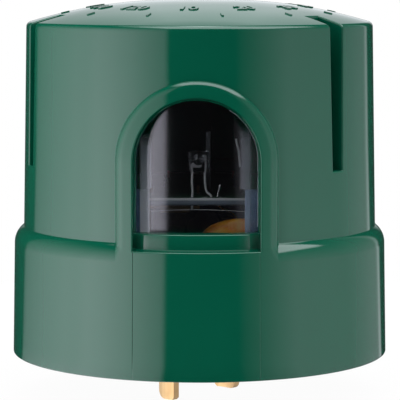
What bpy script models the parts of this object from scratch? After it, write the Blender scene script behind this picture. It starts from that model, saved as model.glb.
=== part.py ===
"""Twist-lock photocell switch for street and area lights.

Metres, +Z up. The origin is the centre of the underside of the plug base's hub,
the face that seats on the receptacle. The window looks along -Y. An azimuth is measured
from -Y towards +X. Run it with: blender --background --python part.py
"""

import math

import bmesh
import bpy

# Housing, outside. Heights are measured up from the skirt's open rim.
SKIRT_RADIUS = 0.0415
SKIRT_HEIGHT = 0.02417
SHOULDER_ROUND = 0.00446
SHOULDER_WIDTH = 0.00209
SHOULDER_FIRST_DEG = 6.0   # the shoulder's arc starts this far round, after a short flat
BODY_HEIGHT = 0.04465
DOME_RISE = 0.0047
DOME_FLAT_RADIUS = 0.0057
TOP_EDGE_ROUND = 0.0010
DRAFT_DEG = 1.1
RIM_DROP = 0.0065          # from the seat face down to the skirt's open rim
WALL = 0.0026

# Fits
FIT_GAP = 0.0003           # between pieces that seat on or in each other

# Window arch in the housing: heights are above the skirt's open rim
WINDOW_SHARE = 0.312       # half its width, as a share of the skirt's radius
WINDOW_HALF_WIDTH = SKIRT_RADIUS * WINDOW_SHARE
WINDOW_CENTRE_HEIGHT = 0.0448
WINDOW_FLOOR_HEIGHT = 0.0266
WINDOW_RIM_WIDTH = 0.00385
SILL_RISE = 0.0042         # the sill's top above the window's floor
SILL_SET_BACK = 0.0041     # the sill's face behind the window rim's face
SILL_GROOVE_WIDTH = 0.0012
SILL_GROOVE_DEPTH = 0.0010
FRAME_WALL = 0.0019        # frame that holds the lens, beside the lens
FRAME_LIP = 0.0015         # lip behind the lens
FRAME_FLOOR = 0.0118       # the frame's lower end, above the seat face

# Finger slots in the body
SLOT_AZIMUTHS_DEG = (50.0, 170.0, 290.0)
SLOT_DEPTH = 0.0065
SLOT_TOP_WIDTH = 0.00435
SLOT_FOOT_WIDTH = 0.0032
SLOT_FOOT_HEIGHT = 0.0420
SLOT_WALL = 0.0020

# Snap beads inside the skirt, which carry the plug base
BEAD_AZIMUTHS_DEG = (0.0, 120.0, 240.0)
BEAD_LENGTH = 0.014
BEAD_DEPTH = 0.0009
BEAD_HEIGHT = 0.0012
BEAD_LEAD_IN = 0.0018

# Window lens
LENS_SEAT_DEPTH = 0.0008   # the frame's front land stands this far inside the housing's wall
LENS_THICKNESS = 0.0020
LENS_OVERLAP = 0.0024      # the lens reaches this far past the window's edge
LENS_BELOW_FLOOR = 0.0066  # and this far below the window's floor
LENS_LEG_INSET = 0.00315   # the inner face of each leg, in from the window's edge
LENS_LEG_WIDTH = 0.0025
LENS_LEG_DEPTH = 0.0046
LENS_LEG_TOP = 0.0321      # above the seat face
LENS_STOP_DEPTH = 0.0016   # how much of the lens's foot a stop stands under

# Plug base
BASE_THICKNESS = 0.0030
HUB_SHARE = 0.56           # the hub's radius, as a share of the plate's
HUB_RISE = 0.0025          # hub above the base's plate
GASKET_RECESS = 0.0008     # the plate's underside above the hub's
BASE_RING_WALL = 0.0018
BASE_RING_RISE = 0.0030
BASE_RIB_COUNT = 9
BASE_RIB_THICKNESS = 0.0016
BASE_RIB_SHARE = 0.8       # a rib's height as a share of the hub's, and its top's width of its foot's
POST_RADIUS = 0.0031
POST_CIRCLE_SHARE = 0.8265 # of the board's radius
POST_AZIMUTHS_DEG = (78.0, 180.0, 282.0)
POST_PILOT_RADIUS = 0.0011
POST_PILOT_DEPTH = 0.0100
LENS_STOP_WIDTH = 0.0030

# Gasket under the plug base
GASKET_EDGE_GAP = 0.0049   # inside the plate's edge
GASKET_HUB_GAP = 0.0025    # outside the hub
GASKET_THICKNESS = 0.0028

# Blades: a curved strip through the base, a hooked tip and a flat foot
BLADE_CIRCLE = 0.0096
BLADE_THICKNESS = 0.0015
BLADE_LENGTH = 0.0169      # below the seat face
BLADE_TIP_HEIGHT = 0.0062
BLADE_TIP_ROUND = 0.0020
BLADE_HOOK = 0.0014
BLADE_END_BEVEL = 0.0005
BLADE_WIDTHS = {"line_blade": 0.0048, "load_blade": 0.0048, "neutral_blade": 0.0062}
BLADE_AZIMUTHS_DEG = {"line_blade": -46.0, "load_blade": -134.0, "neutral_blade": 137.0}
FOOT_WIDTH = 0.0060
FOOT_THICKNESS = 0.0012
FOOT_REACH = 0.0110        # from the blade circle outwards
RIVET_OFFSET = 0.0058      # from the blade circle outwards
RIVET_RADIUS = 0.0014
RIVET_HEAD_RADIUS = 0.0024
RIVET_HEAD_HEIGHT = 0.0009
RIVET_CROWN_SHARE = 0.7    # the crown of a rivet's head, as a share of the head's radius
WIRE_RADIUS = 0.0008
WIRE_OFFSET = 0.0096       # from the blade circle outwards
WIRE_BOW = 0.0012

# Circuit board and what stands on it. A place on it, and the plan of a large component,
# is a share of the board's radius.
BOARD_TOP = 0.0300         # above the seat face
BOARD_THICKNESS = 0.0016
BOARD_EDGE_GAP = 0.0007    # from the lens frame
BOARD_FRONT_GAP = 0.0014   # from the legs of the lens
SCREW_RADIUS = 0.0010
SCREW_HOLE_RADIUS = 0.0016
SCREW_HEAD_RADIUS = 0.0026
SCREW_HEAD_HEIGHT = 0.0014
SCREW_LENGTH = 0.0085
SCREW_SLOT_WIDTH = 0.0007
SCREW_SLOT_DEPTH = 0.0006
SCREW_TIP_SHARE = 0.4      # of the screw's radius
SCREW_CROWN_SHARE = 0.75   # of the head's radius
SCREW_EDGE_SHARE = 0.6     # of the head's height
LEAD_RADIUS = 0.0003
LEAD_TAIL = 0.0016         # a lead's end past the far face of the board

SENSOR_X = 0.0002
SENSOR_SET_BACK = 0.0017   # behind the board's front edge
SENSOR_WIDTH = 0.0044
SENSOR_HEIGHT = 0.0044
SENSOR_DEPTH = 0.0024
SENSOR_RISE = 0.0054       # its underside above the board
SENSOR_PITCH = 0.0027
SENSOR_ROUND = 0.0004
SENSOR_DOME_RADIUS = 0.0012
SENSOR_DOME_SHARE = 0.6    # the bead's height on the block, as a share of the block's
SENSOR_POST_WIDTH = 0.0009
SENSOR_POST_DEPTH = 0.0014
SENSOR_POST_HEIGHT = 0.0137
SENSOR_POST_X = 0.0022

VARISTOR_RADIUS_SHARE = 0.2624
VARISTOR_THICKNESS = 0.0048
VARISTOR_X_SHARE = 0.2722
VARISTOR_SET_BACK = 0.0026
VARISTOR_DROP = 0.0026     # its top below the board
VARISTOR_PITCH_SHARE = 0.246
VARISTOR_TAIL = 0.0026

RELAY_PLACE = (0.0, 0.0656)
RELAY_PLAN = (0.656, 0.508)
RELAY_HEIGHT = 0.0155
RELAY_PIN_INSET = 0.0022
FILM_CAPACITOR_PLACE = (0.0, 0.564)
FILM_CAPACITOR_PLAN = (0.590, 0.230)
FILM_CAPACITOR_HEIGHT = 0.0130
FILM_CAPACITOR_PITCH_SHARE = 0.492
CASE_ROUND = 0.0006
CAN_PLACE = (0.640, 0.138)
CAN_RADIUS_SHARE = 0.164
CAN_HEIGHT = 0.0160
CAN_PITCH_SHARE = 0.164
CAN_GROOVE = 0.0004
CAN_GROOVE_DROP = 0.0025   # the groove below the can's top
RESISTOR_PLACE = (-0.577, 0.033)
RESISTOR_RADIUS = 0.0021
RESISTOR_LENGTH = 0.0115
BIAS_RESISTOR_PLACE = (-0.164, -0.541)
BIAS_RESISTOR_RADIUS = 0.0012
BIAS_RESISTOR_LENGTH = 0.0063
DIODE_PLACES = ((0.443, -0.377), (0.443, -0.525))
DIODE_RADIUS = 0.0013
DIODE_LENGTH = 0.0050
AXIAL_LEAD_BEND = 0.0018   # a lead turns up this far past its body's end
TRANSISTOR_PLACE = (-0.410, -0.3115)
TRANSISTOR_RADIUS = 0.0024
TRANSISTOR_FLAT = 0.0012
TRANSISTOR_HEIGHT = 0.0046
TRANSISTOR_PITCH = 0.00127
TRANSISTOR_DROP = 0.0030

# Steps around a full turn
HOUSING_STEPS = 72
GASKET_STEPS = 48
ROUND_STEPS = 32
CAN_STEPS = 24
RIVET_STEPS = 16
SMALL_STEPS = 12
LEAD_STEPS = 6

# Steps along part of a turn
ARCH_STEPS = 20
SHOULDER_STEPS = 6
TOP_EDGE_STEPS = 4
DOME_RINGS = 5
SILL_STEPS = 12
SILL_END_STEPS = 3
BEAD_STEPS = 3
BLADE_STEPS = 8
FAR = 0.2                  # cutters run out past the part by this much
SHARP_DEG = 32.0


# Sizes that follow from the ones above

DRAFT = math.tan(math.radians(DRAFT_DEG))
RIM_Z = -RIM_DROP
SHOULDER_START_Z = RIM_Z + SKIRT_HEIGHT
SKIRT_TOP_RADIUS = SKIRT_RADIUS - SKIRT_HEIGHT * DRAFT
SHOULDER_ARC = math.acos(1.0 - SHOULDER_WIDTH / SHOULDER_ROUND)
BODY_FOOT_RADIUS = SKIRT_TOP_RADIUS - SHOULDER_WIDTH
BODY_FOOT_Z = SHOULDER_START_Z + SHOULDER_ROUND * math.sin(SHOULDER_ARC)
BODY_TOP_Z = BODY_FOOT_Z + BODY_HEIGHT
BODY_TOP_RADIUS = BODY_FOOT_RADIUS - BODY_HEIGHT * DRAFT
PLATE_Z = GASKET_RECESS
BASE_TOP_Z = BASE_THICKNESS
BASE_RADIUS = SKIRT_RADIUS - (BASE_TOP_Z - RIM_Z) * DRAFT - WALL - FIT_GAP
HUB_RADIUS = BASE_RADIUS * HUB_SHARE
HUB_TOP_Z = BASE_TOP_Z + HUB_RISE
SKIRT_INNER_RADIUS = SKIRT_RADIUS - WALL
WINDOW_CENTRE_Z = RIM_Z + WINDOW_CENTRE_HEIGHT
WINDOW_FLOOR_Z = RIM_Z + WINDOW_FLOOR_HEIGHT
WINDOW_RIM_HALF_WIDTH = WINDOW_HALF_WIDTH + WINDOW_RIM_WIDTH
LENS_RADIUS = BODY_TOP_RADIUS - WALL - LENS_SEAT_DEPTH + FIT_GAP
LENS_INNER_RADIUS = LENS_RADIUS - LENS_THICKNESS
LENS_HALF_WIDTH = WINDOW_HALF_WIDTH + LENS_OVERLAP
LENS_FOOT_Z = WINDOW_FLOOR_Z - LENS_BELOW_FLOOR
LENS_LEG_BACK = LENS_INNER_RADIUS - LENS_LEG_DEPTH
FRAME_HALF_WIDTH = LENS_HALF_WIDTH + FIT_GAP + FRAME_WALL
FRAME_INNER_RADIUS = LENS_INNER_RADIUS - FIT_GAP - FRAME_LIP
BOARD_RADIUS = FRAME_INNER_RADIUS - BOARD_EDGE_GAP
BOARD_FRONT_Y = -(LENS_LEG_BACK - BOARD_FRONT_GAP)
POST_CIRCLE = BOARD_RADIUS * POST_CIRCLE_SHARE
VARISTOR_RADIUS = BOARD_RADIUS * VARISTOR_RADIUS_SHARE
VARISTOR_X = BOARD_RADIUS * VARISTOR_X_SHARE
CAN_RADIUS = BOARD_RADIUS * CAN_RADIUS_SHARE
BOARD_BOTTOM = BOARD_TOP - BOARD_THICKNESS
UNDER_BOARD = BOARD_BOTTOM - FIT_GAP
BLADE_INNER = BLADE_CIRCLE - BLADE_THICKNESS / 2
BLADE_OUTER = BLADE_CIRCLE + BLADE_THICKNESS / 2
FOOT_Z = HUB_TOP_Z + FIT_GAP
FOOT_TOP_Z = FOOT_Z + FOOT_THICKNESS
COUNTERBORE_DEPTH = RIVET_HEAD_HEIGHT + 2 * FIT_GAP


def clear_scene():
    for item in list(bpy.data.objects):
        bpy.data.objects.remove(item)


def place(radius, azimuth_deg, z):
    """The point at this radius and azimuth."""
    angle = math.radians(azimuth_deg)
    return (radius * math.sin(angle), -radius * math.cos(angle), z)


def on_board(shares):
    """A place or a plan size on the board, from shares of the board's radius."""
    return (BOARD_RADIUS * shares[0], BOARD_RADIUS * shares[1])


def skirt_radius(z):
    return SKIRT_RADIUS - (z - RIM_Z) * DRAFT


def body_radius(z):
    return BODY_FOOT_RADIUS - (z - BODY_FOOT_Z) * DRAFT


def dome_height(radius):
    """Height of the dome's surface: flat in the middle, then falling by a square law."""
    if radius <= DOME_FLAT_RADIUS:
        return BODY_TOP_Z + DOME_RISE
    share = (radius - DOME_FLAT_RADIUS) / (BODY_TOP_RADIUS - DOME_FLAT_RADIUS)
    return BODY_TOP_Z + DOME_RISE * (1.0 - share * share)


def dome_slope(radius):
    """The dome's fall for each unit of radius."""
    span = BODY_TOP_RADIUS - DOME_FLAT_RADIUS
    return 2.0 * DOME_RISE * (radius - DOME_FLAT_RADIUS) / (span * span)


def arc_points(centre, radius, start_deg, stop_deg, steps):
    """Points on an arc, both ends included."""
    points = []
    for step in range(steps + 1):
        angle = math.radians(start_deg + (stop_deg - start_deg) * step / steps)
        points.append((centre[0] + radius * math.cos(angle), centre[1] + radius * math.sin(angle)))
    return points


def make_object(name, mesh_builder):
    """Turn a bmesh into an object with its faces pointing out."""
    bmesh.ops.recalc_face_normals(mesh_builder, faces=mesh_builder.faces)
    data = bpy.data.meshes.new(name)
    mesh_builder.to_mesh(data)
    mesh_builder.free()
    item = bpy.data.objects.new(name, data)
    bpy.context.scene.collection.objects.link(item)
    return item


def turned(name, profile, steps=ROUND_STEPS, centre=(0.0, 0.0)):
    """A full turn of a profile of (radius, z) points that starts and ends on the axis."""
    shape = bmesh.new()
    rings = []
    for radius, z in profile:
        if radius <= 0.0:
            rings.append([shape.verts.new((centre[0], centre[1], z))])
            continue
        ring = []
        for step in range(steps):
            x, y, height = place(radius, 360.0 * (step + 0.5) / steps, z)
            ring.append(shape.verts.new((centre[0] + x, centre[1] + y, height)))
        rings.append(ring)
    for lower, upper in zip(rings, rings[1:]):
        for step in range(steps):
            after = (step + 1) % steps
            if len(lower) == 1:
                shape.faces.new((lower[0], upper[step], upper[after]))
            elif len(upper) == 1:
                shape.faces.new((lower[step], lower[after], upper[0]))
            else:
                shape.faces.new((lower[step], lower[after], upper[after], upper[step]))
    return make_object(name, shape)


def turned_ring(name, profile, steps=ROUND_STEPS):
    """A full turn of a closed profile that stays clear of the axis."""
    shape = bmesh.new()
    rings = []
    for step in range(steps):
        azimuth = 360.0 * (step + 0.5) / steps
        rings.append([shape.verts.new(place(radius, azimuth, z)) for radius, z in profile])
    for step in range(steps):
        join_rings(shape, rings[step], rings[(step + 1) % steps])
    return make_object(name, shape)


def join_rings(shape, first, second):
    count = len(first)
    for index in range(count):
        after = (index + 1) % count
        shape.faces.new((first[index], first[after], second[after], second[index]))


def swept(name, profile, start_deg, stop_deg, steps):
    """A closed profile of (radius, z) points carried round part of a turn."""
    shape = bmesh.new()
    rings = []
    for step in range(steps + 1):
        azimuth = start_deg + (stop_deg - start_deg) * step / steps
        rings.append([shape.verts.new(place(radius, azimuth, z)) for radius, z in profile])
    for first, second in zip(rings, rings[1:]):
        join_rings(shape, first, second)
    shape.faces.new(rings[0])
    shape.faces.new(rings[-1])
    return make_object(name, shape)


def prism(name, outline, to_point, start, stop):
    """A closed outline of (u, v) points extruded from start to stop; to_point gives x, y, z."""
    shape = bmesh.new()
    first = [shape.verts.new(to_point(u, v, start)) for u, v in outline]
    second = [shape.verts.new(to_point(u, v, stop)) for u, v in outline]
    join_rings(shape, first, second)
    shape.faces.new(first)
    shape.faces.new(second)
    return make_object(name, shape)


def along_y(u, v, w):
    return (u, w, v)


def along_z(u, v, w):
    return (u, v, w)


def along_x(u, v, w):
    return (w, u, v)


def box(name, low, high):
    outline = [(low[0], low[1]), (high[0], low[1]), (high[0], high[1]), (low[0], high[1])]
    return prism(name, outline, along_z, low[2], high[2])


def rod(name, centre, radius, low_z, high_z, steps=SMALL_STEPS):
    outline = arc_points(centre, radius, 0.0, 360.0, steps)[:-1]
    return prism(name, outline, along_z, low_z, high_z)


def arch(name, half_width, floor_z):
    """A round-headed window outline, extruded along Y from the front into the housing."""
    outline = [(-half_width, floor_z), (half_width, floor_z)]
    outline += arc_points((0.0, WINDOW_CENTRE_Z), half_width, 0.0, 180.0, ARCH_STEPS)
    return prism(name, outline, along_y, -FAR, -FRAME_INNER_RADIUS / 3)


def shell_zone(name, inner_radius, outer_radius, low_z, high_z):
    """A full ring between two radii, for cutting curved plates."""
    corners = ((inner_radius, low_z), (outer_radius, low_z), (outer_radius, high_z), (inner_radius, high_z))
    return turned_ring(name, corners, HOUSING_STEPS)


def radial_block(name, azimuth_deg, inner, outer, low, high):
    """A block that tapers in width: low and high are (z, width)."""
    shape = bmesh.new()
    angle = math.radians(azimuth_deg)
    out = (math.sin(angle), -math.cos(angle))
    side = (math.cos(angle), math.sin(angle))
    rings = []
    for z, width in (low, high):
        ring = []
        for radius, sign in ((inner, -1), (outer, -1), (outer, 1), (inner, 1)):
            x = out[0] * radius + side[0] * sign * width / 2
            y = out[1] * radius + side[1] * sign * width / 2
            ring.append(shape.verts.new((x, y, z)))
        rings.append(ring)
    join_rings(shape, rings[0], rings[1])
    shape.faces.new(rings[0])
    shape.faces.new(rings[1])
    return make_object(name, shape)


def combine(target, tool, operation):
    """Work out one Boolean for good and delete its tool."""
    modifier = target.modifiers.new(operation.title(), "BOOLEAN")
    modifier.operation = operation
    modifier.solver = "EXACT"
    modifier.object = tool
    bpy.context.view_layer.update()
    evaluated = target.evaluated_get(bpy.context.evaluated_depsgraph_get())
    result = bpy.data.meshes.new_from_object(evaluated)
    target.modifiers.clear()
    target.data = result
    bpy.data.objects.remove(tool)
    return target


def cut(target, *tools):
    for tool in tools:
        combine(target, tool, "DIFFERENCE")
    return target


def fuse(target, *tools):
    for tool in tools:
        combine(target, tool, "UNION")
    return target


def keep_inside(target, tool):
    return combine(target, tool, "INTERSECT")


def finish(item, material):
    """Give a piece its own material, and smooth shading between its sharp edges."""
    name, colour, roughness, metallic = material
    finish_material = bpy.data.materials.new(name)
    finish_material.use_nodes = True
    shader = finish_material.node_tree.nodes["Principled BSDF"]
    shader.inputs["Base Color"].default_value = (*colour, 1.0)
    shader.inputs["Roughness"].default_value = roughness
    shader.inputs["Metallic"].default_value = metallic
    item.data.materials.clear()
    item.data.materials.append(finish_material)
    item.data.shade_smooth()
    item.data.set_sharp_from_angle(angle=math.radians(SHARP_DEG))
    return item


def outer_profile():
    """The housing's outside above the skirt: shoulder arc, body, rounded edge and dome."""
    arc_centre = (SKIRT_TOP_RADIUS - SHOULDER_ROUND, SHOULDER_START_Z)
    arc_end = math.degrees(SHOULDER_ARC)
    points = arc_points(arc_centre, SHOULDER_ROUND, SHOULDER_FIRST_DEG, arc_end, SHOULDER_STEPS)
    tangent = SHOULDER_ROUND * math.tan(math.radians(SHOULDER_FIRST_DEG / 2))
    points.insert(0, (SKIRT_TOP_RADIUS + tangent * DRAFT, SHOULDER_START_Z))
    edge_centre_radius = BODY_TOP_RADIUS - TOP_EDGE_ROUND
    meeting = math.pi / 2 - math.atan(dome_slope(edge_centre_radius))
    meeting_radius = edge_centre_radius + TOP_EDGE_ROUND * math.cos(meeting)
    edge_centre = (edge_centre_radius, dome_height(meeting_radius) - TOP_EDGE_ROUND * math.sin(meeting))
    points += arc_points(edge_centre, TOP_EDGE_ROUND, 0.0, math.degrees(meeting), TOP_EDGE_STEPS)
    for ring in range(1, DOME_RINGS + 1):
        radius = meeting_radius + (DOME_FLAT_RADIUS - meeting_radius) * ring / DOME_RINGS
        points.append((radius, dome_height(radius)))
    points.append((0.0, dome_height(0.0)))
    return points


def make_cavity():
    """The space inside the housing, with the lens frame, slot jackets and beads left standing."""
    ledge_z = BASE_TOP_Z + FIT_GAP
    top_inner = body_radius(BODY_TOP_Z) - WALL
    profile = [
        (0.0, RIM_Z - WALL),
        (SKIRT_INNER_RADIUS + WALL * DRAFT, RIM_Z - WALL),
        (skirt_radius(ledge_z) - WALL, ledge_z),
        (body_radius(ledge_z) - WALL, ledge_z),
        (top_inner, dome_height(top_inner) - WALL),
    ]
    for ring in range(1, DOME_RINGS + 1):
        radius = top_inner + (DOME_FLAT_RADIUS - top_inner) * ring / DOME_RINGS
        profile.append((radius, dome_height(radius) - WALL))
    profile.append((0.0, dome_height(0.0) - WALL))
    cavity = turned("cavity", profile, HOUSING_STEPS)

    frame = arch("frame", FRAME_HALF_WIDTH, FRAME_FLOOR)
    keep_inside(frame, shell_zone("frame_zone", FRAME_INNER_RADIUS, SKIRT_RADIUS, -FAR, FAR))
    cut(cavity, frame)

    jacket_inner = BODY_TOP_RADIUS - SLOT_DEPTH - SLOT_WALL
    foot_z = RIM_Z + SLOT_FOOT_HEIGHT - SLOT_WALL
    top_z = BODY_TOP_Z + DOME_RISE
    for azimuth in SLOT_AZIMUTHS_DEG:
        low = (foot_z, SLOT_FOOT_WIDTH + 2 * SLOT_WALL)
        high = (top_z, SLOT_TOP_WIDTH + 2 * SLOT_WALL)
        cut(cavity, radial_block("jacket", azimuth, jacket_inner, SKIRT_RADIUS, low, high))

    inner = SKIRT_INNER_RADIUS
    bead_top = PLATE_Z - FIT_GAP
    bead_foot = bead_top - BEAD_HEIGHT - BEAD_LEAD_IN
    tooth = [
        (inner - BEAD_DEPTH, bead_top),
        (inner + WALL / 2, bead_top),
        (inner + WALL / 2, bead_foot),
        (inner, bead_foot),
        (inner - BEAD_DEPTH, bead_top - BEAD_HEIGHT),
    ]
    half_turn = math.degrees(BEAD_LENGTH / inner) / 2
    for azimuth in BEAD_AZIMUTHS_DEG:
        cut(cavity, swept("bead", tooth, azimuth - half_turn, azimuth + half_turn, BEAD_STEPS))
    return cavity


def make_housing():
    """One moulding: skirt, shoulder, body, dome, window rim with its lens frame, three slots."""
    top_z = BODY_TOP_Z + DOME_RISE + WALL
    blank = [(0.0, RIM_Z), (SKIRT_RADIUS, RIM_Z), (skirt_radius(top_z), top_z), (0.0, top_z)]
    housing = turned("housing", blank, HOUSING_STEPS)

    outside = outer_profile()
    outside.insert(0, (SKIRT_RADIUS + WALL, SHOULDER_START_Z))
    outside[-1] = (0.0, dome_height(0.0))
    outside += [(0.0, top_z + WALL), (SKIRT_RADIUS + WALL, top_z + WALL)]
    shaver = turned_cap("shaver", outside)
    cut(shaver, arch("window_rim", WINDOW_RIM_HALF_WIDTH, RIM_Z))
    cut(housing, shaver)

    cut(housing, make_cavity())

    # The lens slides up into a pocket behind the wall, open at its foot.
    pocket = arch("pocket", LENS_HALF_WIDTH + FIT_GAP, RIM_Z)
    keep_inside(pocket, shell_zone("pocket_zone", LENS_INNER_RADIUS - FIT_GAP, LENS_RADIUS + FIT_GAP,
                                   BASE_TOP_Z + FIT_GAP, FAR))
    cut(housing, pocket)
    lip_half_width = WINDOW_HALF_WIDTH + FIT_GAP
    view = arch("view", lip_half_width, BASE_TOP_Z + FIT_GAP)
    keep_inside(view, shell_zone("view_zone", FRAME_INNER_RADIUS / 2, LENS_RADIUS, -FAR, FAR))
    cut(housing, view)

    window = arch("window", WINDOW_HALF_WIDTH, WINDOW_FLOOR_Z)
    keep_inside(window, shell_zone("window_zone", LENS_RADIUS - LENS_THICKNESS / 2, FAR, -FAR, FAR))
    cut(window, make_sill())
    cut(housing, window)

    slot_inner = BODY_TOP_RADIUS - SLOT_DEPTH
    foot_z = RIM_Z + SLOT_FOOT_HEIGHT
    for azimuth in SLOT_AZIMUTHS_DEG:
        low = (foot_z, SLOT_FOOT_WIDTH)
        high = (top_z + WALL, SLOT_TOP_WIDTH)
        cut(housing, radial_block("slot", azimuth, slot_inner, SKIRT_RADIUS + WALL, low, high))
    return finish(housing, ("green moulded housing", (0.006, 0.096, 0.047), 0.22, 0.0))


def make_sill():
    """What stays standing behind the window's floor: a curved sill with a groove at each end."""
    face = skirt_radius(WINDOW_FLOOR_Z) - SILL_SET_BACK
    back = face - SILL_GROOVE_DEPTH
    end = WINDOW_HALF_WIDTH - SILL_GROOVE_WIDTH
    past = WINDOW_HALF_WIDTH + WALL
    face_turn = math.degrees(math.asin(end / face))
    back_turn = math.degrees(math.asin(past / back))
    groove_turn = math.degrees(math.asin(end / back))
    outline = arc_points((0.0, 0.0), back, 270.0 - back_turn, 270.0 - groove_turn, SILL_END_STEPS)
    outline += arc_points((0.0, 0.0), face, 270.0 - face_turn, 270.0 + face_turn, SILL_STEPS)
    outline += arc_points((0.0, 0.0), back, 270.0 + groove_turn, 270.0 + back_turn, SILL_END_STEPS)
    outline += [(past, -LENS_INNER_RADIUS / 2), (-past, -LENS_INNER_RADIUS / 2)]
    return prism("sill", outline, along_z, WINDOW_FLOOR_Z - WALL, WINDOW_FLOOR_Z + SILL_RISE)


def turned_cap(name, profile):
    """A full turn of a closed profile that touches the axis along one straight run."""
    on_axis = [index for index, point in enumerate(profile) if point[0] <= 0.0]
    start = on_axis[-1]
    ordered = profile[start:] + profile[:start]
    return turned(name, ordered, HOUSING_STEPS)


def make_lens():
    """A curved clear plate behind the window, with two legs on its back."""
    lens = arch("window_lens", LENS_HALF_WIDTH, LENS_FOOT_Z)
    keep_inside(lens, shell_zone("lens_zone", LENS_INNER_RADIUS, LENS_RADIUS, -FAR, FAR))
    middle_radius = (LENS_INNER_RADIUS + LENS_RADIUS) / 2
    leg_inner = WINDOW_HALF_WIDTH - LENS_LEG_INSET
    for side in (-1, 1):
        edges = sorted((side * leg_inner, side * (leg_inner + LENS_LEG_WIDTH)))
        front = -math.sqrt(middle_radius ** 2 - edges[0 if side < 0 else 1] ** 2)
        leg = box("leg", (edges[0], front, LENS_FOOT_Z), (edges[1], -LENS_LEG_BACK, LENS_LEG_TOP))
        fuse(lens, leg)
    return finish(lens, ("clear moulded lens", (0.42, 0.46, 0.50), 0.05, 0.0))


def blade_point(name, tangent, radius, z):
    """A point beside a blade's azimuth, as a distance along its tangent and a radius."""
    angle = math.radians(BLADE_AZIMUTHS_DEG[name])
    x = radius * math.sin(angle) + tangent * math.cos(angle)
    y = -radius * math.cos(angle) + tangent * math.sin(angle)
    return (x, y, z)


def blade_outline(width):
    """The blade seen from outside: a stem and a tip that hooks out on the leading side."""
    half = width / 2
    tip = -BLADE_LENGTH
    outline = [(half, FOOT_TOP_Z), (half, tip + BLADE_END_BEVEL), (half - BLADE_END_BEVEL, tip)]
    corner = (-half + BLADE_TIP_ROUND, tip + BLADE_TIP_ROUND)
    outline += arc_points(corner, BLADE_TIP_ROUND, 270.0, 180.0, 5)
    outline += [(-half, tip + BLADE_TIP_HEIGHT), (-half + BLADE_HOOK, tip + BLADE_TIP_HEIGHT),
                (-half + BLADE_HOOK, FOOT_TOP_Z)]
    return outline


def make_blade(name):
    """One bent brass strip: curved blade with a hooked tip, and a flat riveted foot."""
    half_turn = math.degrees((BLADE_WIDTHS[name] / 2 + BLADE_THICKNESS) / BLADE_INNER)
    azimuth = BLADE_AZIMUTHS_DEG[name]
    strip_end = -BLADE_LENGTH - BLADE_THICKNESS
    section = [(BLADE_INNER, strip_end), (BLADE_OUTER, strip_end),
               (BLADE_OUTER, FOOT_TOP_Z), (BLADE_INNER, FOOT_TOP_Z)]
    blade = swept(name, section, azimuth - half_turn, azimuth + half_turn, BLADE_STEPS)
    outline = blade_outline(BLADE_WIDTHS[name])
    side = prism("side", outline, lambda u, v, w: blade_point(name, u, w, v),
                 BLADE_INNER / 2, BLADE_OUTER * 1.5)
    keep_inside(blade, side)

    half = FOOT_WIDTH / 2
    foot_end = BLADE_CIRCLE + FOOT_REACH
    outline = [(-half, BLADE_CIRCLE), (half, BLADE_CIRCLE), (half, foot_end - half / 2)]
    outline += [(half / 2, foot_end), (-half / 2, foot_end), (-half, foot_end - half / 2)]
    foot = prism("foot", outline, lambda u, v, w: blade_point(name, u, v, w), FOOT_Z, FOOT_TOP_Z)
    fuse(blade, foot)
    x, y, z = blade_point(name, 0.0, BLADE_CIRCLE + RIVET_OFFSET, 0.0)
    cut(blade, rod("rivet_hole", (x, y), RIVET_RADIUS + FIT_GAP, HUB_TOP_Z, FOOT_TOP_Z + WALL))
    return finish(blade, (name + " brass", (0.83, 0.60, 0.28), 0.28, 1.0))


def make_rivet(name, blade):
    """A rivet through the blade's foot and the base, with a head at each end."""
    x, y, z = blade_point(blade, 0.0, BLADE_CIRCLE + RIVET_OFFSET, 0.0)
    head_z = FOOT_TOP_Z + FIT_GAP
    lower_head_top = COUNTERBORE_DEPTH - FIT_GAP
    profile = [
        (0.0, lower_head_top - RIVET_HEAD_HEIGHT),
        (RIVET_HEAD_RADIUS, lower_head_top - RIVET_HEAD_HEIGHT),
        (RIVET_HEAD_RADIUS, lower_head_top),
        (RIVET_RADIUS, lower_head_top),
        (RIVET_RADIUS, head_z),
        (RIVET_HEAD_RADIUS, head_z),
        (RIVET_HEAD_RADIUS * RIVET_CROWN_SHARE, head_z + RIVET_HEAD_HEIGHT),
        (0.0, head_z + RIVET_HEAD_HEIGHT),
    ]
    rivet = turned(name, profile, RIVET_STEPS, (x, y))
    return finish(rivet, (name + " brass", (0.78, 0.62, 0.36), 0.35, 1.0))


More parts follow.
